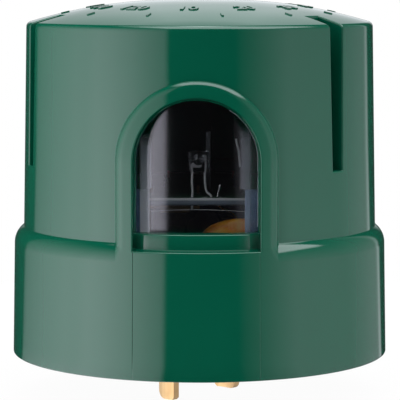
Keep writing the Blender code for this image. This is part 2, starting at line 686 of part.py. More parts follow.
def make_base():
    """Plug base: plate, hub, ring, ribs, board posts and lens stops in one moulding."""
    ring_outer = body_radius(BASE_TOP_Z) - WALL - FIT_GAP
    ring_inner = ring_outer - BASE_RING_WALL
    ring_top = BASE_TOP_Z + BASE_RING_RISE
    profile = [(0.0, 0.0), (HUB_RADIUS, 0.0), (HUB_RADIUS, PLATE_Z), (BASE_RADIUS, PLATE_Z),
               (BASE_RADIUS, BASE_TOP_Z), (ring_outer, BASE_TOP_Z),
               (ring_outer, ring_top), (ring_inner, ring_top), (ring_inner, BASE_TOP_Z),
               (HUB_RADIUS, BASE_TOP_Z), (HUB_RADIUS - HUB_RISE / 4, HUB_TOP_Z), (0.0, HUB_TOP_Z)]
    base = turned("plug_base", profile, HOUSING_STEPS)

    rib_top = BASE_TOP_Z + HUB_RISE * BASE_RIB_SHARE
    rib_foot = (PLATE_Z + BASE_TOP_Z) / 2
    rib_end = (ring_inner + ring_outer) / 2
    for rib in range(BASE_RIB_COUNT):
        azimuth = 360.0 * (rib + 0.5) / BASE_RIB_COUNT
        low = (rib_foot, BASE_RIB_THICKNESS)
        high = (rib_top, BASE_RIB_THICKNESS * BASE_RIB_SHARE)
        fuse(base, radial_block("rib", azimuth, HUB_RADIUS - HUB_RISE, rib_end, low, high))

    post_top = BOARD_BOTTOM - FIT_GAP
    for azimuth in POST_AZIMUTHS_DEG:
        x, y, z = place(POST_CIRCLE, azimuth, 0.0)
        fuse(base, rod("post", (x, y), POST_RADIUS, rib_foot, post_top))
        cut(base, rod("pilot", (x, y), POST_PILOT_RADIUS + FIT_GAP, post_top - POST_PILOT_DEPTH, FAR))

    stop_x = LENS_HALF_WIDTH / 2
    stop_back = math.sqrt(LENS_INNER_RADIUS ** 2 - stop_x ** 2)
    for side in (-1, 1):
        low = (side * stop_x - LENS_STOP_WIDTH / 2, -stop_back - LENS_STOP_DEPTH, rib_foot)
        high = (side * stop_x + LENS_STOP_WIDTH / 2, -stop_back + LENS_THICKNESS, LENS_FOOT_Z - FIT_GAP)
        fuse(base, box("lens_stop", low, high))

    for name, width in BLADE_WIDTHS.items():
        azimuth = BLADE_AZIMUTHS_DEG[name]
        half_turn = math.degrees((width / 2 + 2 * FIT_GAP) / BLADE_INNER)
        section = [(BLADE_INNER - FIT_GAP, -WALL), (BLADE_OUTER + FIT_GAP, -WALL),
                   (BLADE_OUTER + FIT_GAP, HUB_TOP_Z + WALL), (BLADE_INNER - FIT_GAP, HUB_TOP_Z + WALL)]
        cut(base, swept("blade_slot", section, azimuth - half_turn, azimuth + half_turn, BLADE_STEPS))
        x, y, z = blade_point(name, 0.0, BLADE_CIRCLE + RIVET_OFFSET, 0.0)
        cut(base, rod("rivet_hole", (x, y), RIVET_RADIUS + FIT_GAP, -WALL, FAR))
        cut(base, rod("counterbore", (x, y), RIVET_HEAD_RADIUS + FIT_GAP, -WALL, COUNTERBORE_DEPTH,
                      RIVET_STEPS))
    return finish(base, ("black moulded base", (0.02, 0.02, 0.022), 0.45, 0.0))


def make_gasket():
    """Flat foam ring round the hub, under the base's plate."""
    inner = HUB_RADIUS + GASKET_HUB_GAP
    outer = BASE_RADIUS - GASKET_EDGE_GAP
    top = PLATE_Z - FIT_GAP
    low = top - GASKET_THICKNESS
    section = ((inner, low), (outer, low), (outer, top), (inner, top))
    gasket = turned_ring("receptacle_gasket", section, GASKET_STEPS)
    return finish(gasket, ("grey foam rubber", (0.09, 0.09, 0.095), 0.9, 0.0))


def sensor_leads():
    y = BOARD_FRONT_Y + SENSOR_SET_BACK
    return [(SENSOR_X + side * SENSOR_PITCH / 2, y) for side in (-1, 1)]


def varistor_leads():
    y = BOARD_FRONT_Y + VARISTOR_SET_BACK
    reach = BOARD_RADIUS * VARISTOR_PITCH_SHARE / 2
    return [(VARISTOR_X + side * reach, y) for side in (-1, 1)]


def relay_leads():
    x, y = on_board(RELAY_PLACE)
    width, depth = on_board(RELAY_PLAN)
    across = width / 2 - RELAY_PIN_INSET
    along = depth / 2 - RELAY_PIN_INSET
    return [(x + i * across, y + j * along) for i in (-1, 1) for j in (-1, 1)]


def film_capacitor_leads():
    x, y = on_board(FILM_CAPACITOR_PLACE)
    reach = BOARD_RADIUS * FILM_CAPACITOR_PITCH_SHARE / 2
    return [(x + side * reach, y) for side in (-1, 1)]


def can_leads():
    x, y = on_board(CAN_PLACE)
    reach = BOARD_RADIUS * CAN_PITCH_SHARE / 2
    return [(x, y + side * reach) for side in (-1, 1)]


def transistor_leads():
    x, y = on_board(TRANSISTOR_PLACE)
    return [(x + side * TRANSISTOR_PITCH, y) for side in (-1, 0, 1)]


def axial_leads(centre, length, along):
    """Where the two bent leads of an axial component meet the board."""
    reach = length / 2 + AXIAL_LEAD_BEND
    if along == "x":
        return [(centre[0] + side * reach, centre[1]) for side in (-1, 1)]
    return [(centre[0], centre[1] + side * reach) for side in (-1, 1)]


def every_lead():
    """All places where a component's lead goes through the board."""
    places = sensor_leads() + varistor_leads() + relay_leads() + film_capacitor_leads()
    places += can_leads() + transistor_leads()
    places += axial_leads(on_board(RESISTOR_PLACE), RESISTOR_LENGTH, "y")
    places += axial_leads(on_board(BIAS_RESISTOR_PLACE), BIAS_RESISTOR_LENGTH, "x")
    for place_shares in DIODE_PLACES:
        places += axial_leads(on_board(place_shares), DIODE_LENGTH, "x")
    return places


def make_board():
    """A round board with a straight front edge, drilled for its screws and leads."""
    turn = math.degrees(math.asin(-BOARD_FRONT_Y / BOARD_RADIUS))
    outline = arc_points((0.0, 0.0), BOARD_RADIUS, -turn, 180.0 + turn, 44)
    board = prism("circuit_board", outline, along_z, BOARD_BOTTOM, BOARD_TOP)
    for azimuth in POST_AZIMUTHS_DEG:
        x, y, z = place(POST_CIRCLE, azimuth, 0.0)
        cut(board, rod("screw_hole", (x, y), SCREW_HOLE_RADIUS, 0.0, FAR))
    for lead in every_lead():
        cut(board, rod("lead_hole", lead, LEAD_RADIUS + FIT_GAP, 0.0, FAR, LEAD_STEPS))
    return finish(board, ("green circuit board", (0.03, 0.10, 0.05), 0.4, 0.0))


def make_screw(name, azimuth_deg):
    x, y, z = place(POST_CIRCLE, azimuth_deg, 0.0)
    head = BOARD_TOP + FIT_GAP
    tip = head - SCREW_LENGTH
    top = head + SCREW_HEAD_HEIGHT
    profile = [(0.0, tip), (SCREW_RADIUS * SCREW_TIP_SHARE, tip), (SCREW_RADIUS, tip + SCREW_RADIUS * 2),
               (SCREW_RADIUS, head), (SCREW_HEAD_RADIUS, head),
               (SCREW_HEAD_RADIUS, head + SCREW_HEAD_HEIGHT * SCREW_EDGE_SHARE),
               (SCREW_HEAD_RADIUS * SCREW_CROWN_SHARE, top), (0.0, top)]
    screw = turned(name, profile, SMALL_STEPS, (x, y))
    slot = box("slot", (x - SCREW_HEAD_RADIUS * 2, y - SCREW_SLOT_WIDTH / 2, top - SCREW_SLOT_DEPTH),
               (x + SCREW_HEAD_RADIUS * 2, y + SCREW_SLOT_WIDTH / 2, top + SCREW_SLOT_DEPTH))
    cut(screw, slot)
    return finish(screw, (name + " steel", (0.55, 0.55, 0.57), 0.35, 1.0))


def add_leads(item, places, low_z, high_z):
    """Fuse straight leads to a component."""
    for lead in places:
        fuse(item, rod("lead", lead, LEAD_RADIUS, low_z, high_z, LEAD_STEPS))
    return item


def rounded_case(name, centre, size, top_z, edge_round=CASE_ROUND):
    """A sealed block with its edges rounded."""
    low = (centre[0] - size[0] / 2, centre[1] - size[1] / 2, top_z - size[2])
    high = (centre[0] + size[0] / 2, centre[1] + size[1] / 2, top_z)
    case = box(name, low, high)
    modifier = case.modifiers.new("Rounded edges", "BEVEL")
    modifier.width = edge_round
    modifier.segments = 2
    modifier.limit_method = "ANGLE"
    bpy.context.view_layer.update()
    evaluated = case.evaluated_get(bpy.context.evaluated_depsgraph_get())
    result = bpy.data.meshes.new_from_object(evaluated)
    case.modifiers.clear()
    case.data = result
    return case


def make_sensor():
    """Side-looking light sensor: a small block with a bead lens facing the window, on two leads."""
    y = BOARD_FRONT_Y + SENSOR_SET_BACK
    low_z = BOARD_TOP + SENSOR_RISE
    sensor = rounded_case("light_sensor", (SENSOR_X, y), (SENSOR_WIDTH, SENSOR_DEPTH, SENSOR_HEIGHT),
                          low_z + SENSOR_HEIGHT, SENSOR_ROUND)
    face = y - SENSOR_DEPTH / 2
    bead_z = low_z + SENSOR_HEIGHT * SENSOR_DOME_SHARE
    shape = bmesh.new()
    bmesh.ops.create_uvsphere(shape, u_segments=12, v_segments=8, radius=SENSOR_DOME_RADIUS)
    bmesh.ops.translate(shape, verts=shape.verts, vec=(SENSOR_X, face + SENSOR_DOME_RADIUS / 3, bead_z))
    fuse(sensor, make_object("bead", shape))
    add_leads(sensor, sensor_leads(), BOARD_BOTTOM - LEAD_TAIL, low_z + SENSOR_HEIGHT / 3)
    return finish(sensor, ("dark sensor resin", (0.03, 0.03, 0.035), 0.2, 0.0))


def make_sensor_post():
    """Thin upright strip behind the sensor, which steadies it."""
    y = BOARD_FRONT_Y + SENSOR_SET_BACK + SENSOR_DEPTH / 2 + FIT_GAP
    low = (SENSOR_POST_X - SENSOR_POST_WIDTH / 2, y, BOARD_TOP + FIT_GAP)
    high = (SENSOR_POST_X + SENSOR_POST_WIDTH / 2, y + SENSOR_POST_DEPTH, BOARD_TOP + SENSOR_POST_HEIGHT)
    post = box("sensor_post", low, high)
    return finish(post, ("tinned strip", (0.5, 0.5, 0.5), 0.4, 1.0))


def make_varistor():
    """Dipped disc standing on edge under the front of the board."""
    y = BOARD_FRONT_Y + VARISTOR_SET_BACK
    centre = (VARISTOR_X, BOARD_BOTTOM - VARISTOR_DROP - VARISTOR_RADIUS)
    rounds = ((0.80, -0.5), (0.95, -0.36), (1.0, 0.0), (0.95, 0.36), (0.80, 0.5))
    shape = bmesh.new()
    rings = []
    for share, depth in rounds:
        points = arc_points(centre, VARISTOR_RADIUS * share, 0.0, 360.0, 24)[:-1]
        rings.append([shape.verts.new((u, y + depth * VARISTOR_THICKNESS, v)) for u, v in points])
    for first, second in zip(rings, rings[1:]):
        join_rings(shape, first, second)
    shape.faces.new(rings[0])
    shape.faces.new(rings[-1])
    disc = make_object("surge_varistor", shape)
    add_leads(disc, varistor_leads(), centre[1], BOARD_TOP + VARISTOR_TAIL)
    return finish(disc, ("orange dipped resin", (0.72, 0.33, 0.06), 0.35, 0.0))


def make_relay():
    size = (*on_board(RELAY_PLAN), RELAY_HEIGHT)
    relay = rounded_case("relay", on_board(RELAY_PLACE), size, UNDER_BOARD)
    add_leads(relay, relay_leads(), UNDER_BOARD - LEAD_TAIL, BOARD_TOP + LEAD_TAIL)
    return finish(relay, ("dark relay case", (0.03, 0.04, 0.09), 0.35, 0.0))


def make_film_capacitor():
    size = (*on_board(FILM_CAPACITOR_PLAN), FILM_CAPACITOR_HEIGHT)
    case = rounded_case("film_capacitor", on_board(FILM_CAPACITOR_PLACE), size, UNDER_BOARD)
    add_leads(case, film_capacitor_leads(), UNDER_BOARD - LEAD_TAIL, BOARD_TOP + LEAD_TAIL)
    return finish(case, ("red film case", (0.35, 0.04, 0.03), 0.4, 0.0))


def make_can():
    """Electrolytic capacitor: a sleeved can with a rolled groove near its foot."""
    top = UNDER_BOARD
    groove_z = top - CAN_GROOVE_DROP
    profile = [
        (0.0, top - CAN_HEIGHT),
        (CAN_RADIUS - CAN_GROOVE, top - CAN_HEIGHT),
        (CAN_RADIUS, top - CAN_HEIGHT + CAN_GROOVE),
        (CAN_RADIUS, groove_z - CAN_GROOVE),
        (CAN_RADIUS - CAN_GROOVE, groove_z),
        (CAN_RADIUS, groove_z + CAN_GROOVE),
        (CAN_RADIUS, top - CAN_GROOVE),
        (CAN_RADIUS - CAN_GROOVE, top),
        (0.0, top),
    ]
    can = turned("smoothing_capacitor", profile, CAN_STEPS, on_board(CAN_PLACE))
    add_leads(can, can_leads(), top - LEAD_TAIL, BOARD_TOP + LEAD_TAIL)
    return finish(can, ("dark sleeve", (0.02, 0.03, 0.05), 0.4, 0.0))


def make_axial(name, centre, radius, length, along, material):
    """Axial component under the board, its two leads bent up through the board."""
    axis_z = UNDER_BOARD - radius
    outline = arc_points((centre[1] if along == "x" else centre[0], axis_z), radius, 0.0, 360.0, 16)[:-1]
    middle = centre[0] if along == "x" else centre[1]
    to_point = along_x if along == "x" else along_y
    item = prism(name, outline, to_point, middle - length / 2, middle + length / 2)
    reach = length / 2 + AXIAL_LEAD_BEND
    cross = centre[1] if along == "x" else centre[0]
    lead = arc_points((cross, axis_z), LEAD_RADIUS, 30.0, 390.0, LEAD_STEPS)[:-1]
    fuse(item, prism("lead", lead, to_point, middle - reach, middle + reach))
    add_leads(item, axial_leads(centre, length, along), axis_z - LEAD_RADIUS, BOARD_TOP + LEAD_TAIL)
    return finish(item, material)


def make_transistor():
    """Small moulded transistor: round back, flat face, three leads up to the board."""
    turn = math.degrees(math.asin(TRANSISTOR_FLAT / TRANSISTOR_RADIUS))
    outline = arc_points(on_board(TRANSISTOR_PLACE), TRANSISTOR_RADIUS, -turn, 180.0 + turn, 14)
    top = BOARD_BOTTOM - TRANSISTOR_DROP
    item = prism("drive_transistor", outline, along_z, top - TRANSISTOR_HEIGHT, top)
    add_leads(item, transistor_leads(), top - LEAD_TAIL, BOARD_TOP + LEAD_TAIL)
    return finish(item, ("black transistor resin", (0.02, 0.02, 0.02), 0.4, 0.0))


def make_wire(name, blade, colour):
    """Insulated wire from a blade's foot up to the board, bowed a little outwards."""
    low_z = FOOT_TOP_Z + FIT_GAP
    high_z = UNDER_BOARD
    steps = 12
    curve = bpy.data.curves.new(name, "CURVE")
    curve.dimensions = "3D"
    curve.bevel_depth = WIRE_RADIUS
    curve.bevel_resolution = 2
    curve.use_fill_caps = True
    spline = curve.splines.new("POLY")
    spline.points.add(steps)
    for step in range(steps + 1):
        share = step / steps
        bow = WIRE_BOW * math.sin(math.pi * share) ** 2
        x, y, z = blade_point(blade, 0.0, BLADE_CIRCLE + WIRE_OFFSET + bow, low_z + (high_z - low_z) * share)
        spline.points[step].co = (x, y, z, 1.0)
    source = bpy.data.objects.new(name + "_path", curve)
    bpy.context.scene.collection.objects.link(source)
    bpy.context.view_layer.update()
    data = bpy.data.meshes.new_from_object(source.evaluated_get(bpy.context.evaluated_depsgraph_get()))
    bpy.data.objects.remove(source)
    wire = bpy.data.objects.new(name, data)
    bpy.context.scene.collection.objects.link(wire)
    return finish(wire, (name + " sleeve", colour, 0.5, 0.0))


def main():
    clear_scene()
    make_housing()
    make_lens()
    make_base()
    make_gasket()
    for name in BLADE_WIDTHS:
        make_blade(name)
        make_rivet(name.replace("blade", "rivet"), name)
    make_board()
    for name, azimuth in zip(("board_screw_right", "board_screw_rear", "board_screw_left"), POST_AZIMUTHS_DEG):
        make_screw(name, azimuth)
    make_sensor()
    make_sensor_post()
    make_varistor()
    make_relay()
    make_film_capacitor()
    make_can()
    make_axial("dropping_resistor", on_board(RESISTOR_PLACE), RESISTOR_RADIUS, RESISTOR_LENGTH, "y",
               ("grey resistor body", (0.25, 0.27, 0.30), 0.6, 0.0))
    make_axial("bias_resistor", on_board(BIAS_RESISTOR_PLACE), BIAS_RESISTOR_RADIUS, BIAS_RESISTOR_LENGTH, "x",
               ("tan resistor body", (0.52, 0.38, 0.22), 0.5, 0.0))
    for number, shares in enumerate(DIODE_PLACES, 1):
        make_axial("rectifier_diode_%d" % number, on_board(shares), DIODE_RADIUS, DIODE_LENGTH, "x",
                   ("black diode body %d" % number, (0.02, 0.02, 0.02), 0.4, 0.0))
    make_transistor()
    make_wire("line_wire", "line_blade", (0.02, 0.02, 0.02))
    make_wire("load_wire", "load_blade", (0.35, 0.02, 0.02))
    make_wire("neutral_wire", "neutral_blade", (0.7, 0.7, 0.68))


main()
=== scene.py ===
import math
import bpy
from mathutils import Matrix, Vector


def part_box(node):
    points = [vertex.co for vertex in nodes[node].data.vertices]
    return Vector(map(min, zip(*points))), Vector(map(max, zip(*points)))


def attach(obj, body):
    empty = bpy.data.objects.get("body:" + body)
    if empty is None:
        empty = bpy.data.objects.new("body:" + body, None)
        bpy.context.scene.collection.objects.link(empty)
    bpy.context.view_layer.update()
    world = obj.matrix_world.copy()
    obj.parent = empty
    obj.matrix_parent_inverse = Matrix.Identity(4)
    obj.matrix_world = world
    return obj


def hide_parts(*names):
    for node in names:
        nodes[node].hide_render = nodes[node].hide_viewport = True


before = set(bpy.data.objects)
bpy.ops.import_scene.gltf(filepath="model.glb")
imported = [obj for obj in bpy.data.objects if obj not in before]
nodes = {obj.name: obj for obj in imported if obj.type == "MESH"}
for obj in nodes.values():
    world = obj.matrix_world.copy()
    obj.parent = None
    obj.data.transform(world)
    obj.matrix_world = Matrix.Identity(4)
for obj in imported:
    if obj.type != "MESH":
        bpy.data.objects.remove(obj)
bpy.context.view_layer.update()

from types import SimpleNamespace

import bmesh
import bpy
import numpy as np

# Photocell switch, dressed for rendering. Sizes here are in millimetres and turn
# to metres when a mesh is made. An azimuth is measured from -Y towards +X.
mm = 0.001
scene = bpy.context.scene


def srgb(code):
    # a hex sRGB colour as linear numbers
    values = np.array([int(code[i:i + 2], 16) for i in (1, 3, 5)]) / 255.0
    linear = np.where(values <= 0.04045, values / 12.92, ((values + 0.055) / 1.055) ** 2.4)
    return (*(float(v) for v in linear), 1.0)


def arcSteps(start, stop, count):
    return np.radians(np.linspace(start, stop, count))


def sheet(points, closed=False):
    # the quads between neighbouring rows and columns of a grid of points;
    # closed joins the last column to the first
    rows, columns = points.shape[:2]
    r = np.arange(rows - 1)[:, None]
    c = np.arange(columns if closed else columns - 1)[None, :]
    after = (c + 1) % columns
    quads = np.stack([r * columns + c, r * columns + after,
                      (r + 1) * columns + after, (r + 1) * columns + c], -1)
    return points.reshape(-1, 3), quads.reshape(-1, 4)


def between(start, end, steps, closed=False):
    # a sheet ruled straight from one row of points to another
    ways = np.linspace(0, 1, steps)[:, None, None]
    return sheet(start[None] * (1 - ways) + end[None] * ways, closed)


def cap(ring):
    # a flat fan that closes a ring of points at their middle
    return sheet(np.stack([ring, np.broadcast_to(ring.mean(0), ring.shape)]), closed=True)


def cleanMesh(name, patches, mergeMm, dissolve=True):
    # patches of (points, faces) become one mesh: doubles merged, sides turned outwards
    points, faces, start = [], [], 0
    for patchPoints, patchFaces in patches:
        points.append(patchPoints)
        faces += [[int(corner) + start for corner in face] for face in patchFaces]
        start += len(patchPoints)
    mesh = bpy.data.meshes.new(name)
    mesh.from_pydata((np.concatenate(points) * mm).tolist(), [], faces)
    work = bmesh.new()
    work.from_mesh(mesh)
    bmesh.ops.remove_doubles(work, verts=work.verts, dist=mergeMm * mm)
    if dissolve:
        bmesh.ops.dissolve_degenerate(work, edges=work.edges, dist=1e-7)
    bmesh.ops.recalc_face_normals(work, faces=work.faces)
    work.to_mesh(mesh)
    work.free()
    return mesh


def weld(name, patches, sharpDeg=38.0, mergeMm=0.002):
    # a clean mesh, smooth but for edges sharper than an angle
    mesh = cleanMesh(name, patches, mergeMm)
    mesh.shade_smooth()
    mesh.set_sharp_from_angle(angle=math.radians(sharpDeg))
    return mesh


def addPiece(name, mesh, material, replaced=None):
    item = bpy.data.objects.new(name, mesh)
    scene.collection.objects.link(item)
    mesh.materials.append(made[material])
    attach(item, "root")
    if replaced:
        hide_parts(replaced)
    return item


def turn(profile, steps):
    # a profile of (radius, z) carried once round the upright axis
    profile = np.asarray(profile, float)
    angle = np.arange(steps) * 2 * np.pi / steps
    return sheet(roundTurn(profile[:, :1], profile[:, 1:2], angle[None]), closed=True)


def roundTurn(radius, z, azimuth):
    return np.stack([radius * np.sin(azimuth), -radius * np.cos(azimuth), z + 0 * azimuth], -1)


def tube(path, radius, steps):
    # a circle carried along a path; its frame is turned as little as possible on the way
    path = np.asarray(path, float)
    ahead = np.gradient(path, axis=0)
    ahead /= np.linalg.norm(ahead, axis=1)[:, None]
    guide = np.array([1.0, 0.0, 0.0]) if abs(ahead[0][0]) < 0.8 else np.array([0.0, 1.0, 0.0])
    sides = []
    for way in ahead:
        guide = guide - way * (guide @ way)
        guide = guide / np.linalg.norm(guide)
        sides.append(guide)
    sides = np.array(sides)
    angle = (np.arange(steps) * 2 * np.pi / steps)[None, :, None]
    rings = path[:, None] + radius * (sides[:, None] * np.cos(angle)
                                      + np.cross(ahead, sides)[:, None] * np.sin(angle))
    return [sheet(rings, closed=True), cap(rings[0]), cap(rings[-1])]


def smoothPath(points, count):
    # a cubic curve through the points, whose slope at each is half the step between the
    # points on either side of it; even in its parameter
    points = np.asarray(points, float)
    padded = np.vstack([2 * points[0] - points[1], points, 2 * points[-1] - points[-2]])
    share = np.linspace(0, len(points) - 1 - 1e-9, count)
    index = share.astype(int)
    t = (share - index)[:, None]
    a, b, c, d = (padded[index + k] for k in range(4))
    return 0.5 * (2 * b + (c - a) * t + (2 * a - 5 * b + 4 * c - d) * t ** 2
                  + (3 * b - a - 3 * c + d) * t ** 3)


def roundedBlock(low, high, edge, steps=3):
    # a block with rounded edges: each face of a cube is pushed out from an inner
    # block by the edge radius along the direction from the inner block's corner
    low, high = np.asarray(low, float), np.asarray(high, float)
    middle, inside = (low + high) / 2, (high - low) / 2 - edge
    turnTo = np.tan(arcSteps(-45, 45, 2 * steps + 1))
    sign = np.sign(np.arange(2 * steps + 1) - steps)
    patches = []
    for axis in range(3):
        one, two = (axis + 1) % 3, (axis + 2) % 3
        for side in (-1.0, 1.0):
            u, v = np.meshgrid(turnTo, turnTo, indexing="ij")
            way, inner = np.zeros(u.shape + (3,)), np.zeros(u.shape + (3,))
            way[..., axis], way[..., one], way[..., two] = side, u, v * side
            way /= np.linalg.norm(way, axis=-1)[..., None]
            inner[..., axis] = side * inside[axis]
            inner[..., one] = (sign * inside[one])[:, None]
            inner[..., two] = (sign * side * inside[two])[None, :]
            patches.append(sheet(middle + inner + way * edge))
    return patches


# The camera stands where the photograph was taken from.

view = dict(distance=488.3, height=78.9, azimuthDeg=0.95, pitchDeg=6.11, lens=198.68,
            shiftX=0.0011, sensorWidth=36.0, clip=(0.01, 20.0))


def makeCamera(v):
    camera = bpy.data.objects.new("photoCamera", bpy.data.cameras.new("photoCamera"))
    scene.collection.objects.link(camera)
    azimuth = math.radians(v.azimuthDeg)
    camera.location = (v.distance * mm * math.sin(azimuth), -v.distance * mm * math.cos(azimuth),
                       v.height * mm)
    camera.rotation_euler = (math.radians(90.0 - v.pitchDeg), 0.0, azimuth)
    camera.data.lens = v.lens
    camera.data.sensor_width = v.sensorWidth
    camera.data.shift_x = v.shiftX
    camera.data.clip_start, camera.data.clip_end = v.clip
    scene.camera = camera


makeCamera(SimpleNamespace(**view))
scene.view_settings.view_transform = "Standard"
print("camera set")


def addNode(tree, kind, settings=()):
    # a setting names an attribute or an input socket; another node's output is linked to it
    node = tree.nodes.new("ShaderNode" + kind)
    for key, value in dict(settings).items():
        if isinstance(value, bpy.types.NodeSocket):
            tree.links.new(value, node.inputs[key])
        elif isinstance(key, str) and hasattr(node, key):
            setattr(node, key, value)
        else:
            node.inputs[key].default_value = value
    return node


def fromNode(tree, kind, settings=()):
    return addNode(tree, kind, settings).outputs[0]


def maths(tree, operation, *values):
    return fromNode(tree, "Math", {"operation": operation, **dict(enumerate(values))})


def axisOf(tree, vector, axis):
    return addNode(tree, "SeparateXYZ", {"Vector": vector}).outputs[axis]


def spread(tree, value, low, high, **more):
    # nought at low, one at high, even between and held beyond; low may be the greater
    return fromNode(tree, "MapRange", {"Value": value, "From Min": low, "From Max": high, **more})


def noise(tree, place, sizeMm, detail, roughness=0.5):
    return fromNode(tree, "TexNoise", {"Vector": place, "Scale": 1.0 / (sizeMm * mm),
                                       "Detail": detail, "Roughness": roughness})


def ramp(tree, value, stops):
    # sRGB colours, or plain levels, at places along a value from 0 to 1
    node = addNode(tree, "ValToRGB", {"Fac": value})
    elements = node.color_ramp.elements
    while len(elements) < len(stops):
        elements.new(0.5)
    for element, (place, tone) in zip(elements, stops):
        element.position = place
        element.color = srgb(tone) if isinstance(tone, str) else (tone, tone, tone, 1.0)
    return node.outputs["Color"]


def newMaterial(name):
    material = bpy.data.materials.new(name)
    material.use_nodes = True
    tree = material.node_tree
    tree.nodes.clear()
    return material, tree, addNode(tree, "TexCoord").outputs["Object"]


def surfaceMaterial(name, look):
    # one moulded, painted or metal finish: two close tones in soft patches, uneven gloss,
    # and a fine relief
    material, tree, place = newMaterial(name)
    tone = ramp(tree, noise(tree, place, look["patchMm"], 4.0, 0.55),
                list(zip((0.30, 0.72), look["tones"])))
    if "shade" in look:
        # painted shade: a deeper tint towards one end of an axis
        axis, start, end, tint = look["shade"]
        share = spread(tree, axisOf(tree, place, axis), start * mm, end * mm)
        tone = fromNode(tree, "MixRGB", {"blend_type": "MULTIPLY", "Fac": share,
                                         "Color1": tone, "Color2": srgb(tint)})
    low, high = look["rough"]
    gloss = spread(tree, noise(tree, place, look["smearMm"], 3.0), 0.3, 0.7,
                   **{"To Min": low, "To Max": high})
    if "stretch" in look:
        place = fromNode(tree, "Mapping", {"Vector": place, "Scale": look["stretch"]})
    relief = fromNode(tree, "Bump", {"Height": noise(tree, place, look["grainMm"], 2.0),
                                     "Strength": look["relief"], "Distance": look["reliefMm"] * mm})
    shader = fromNode(tree, "BsdfPrincipled", {
        "Base Color": tone, "Roughness": gloss, "Normal": relief,
        "Metallic": look.get("metal", 0.0), "IOR": look.get("ior", 1.5)})
    addNode(tree, "OutputMaterial", {"Surface": shader})
    return material


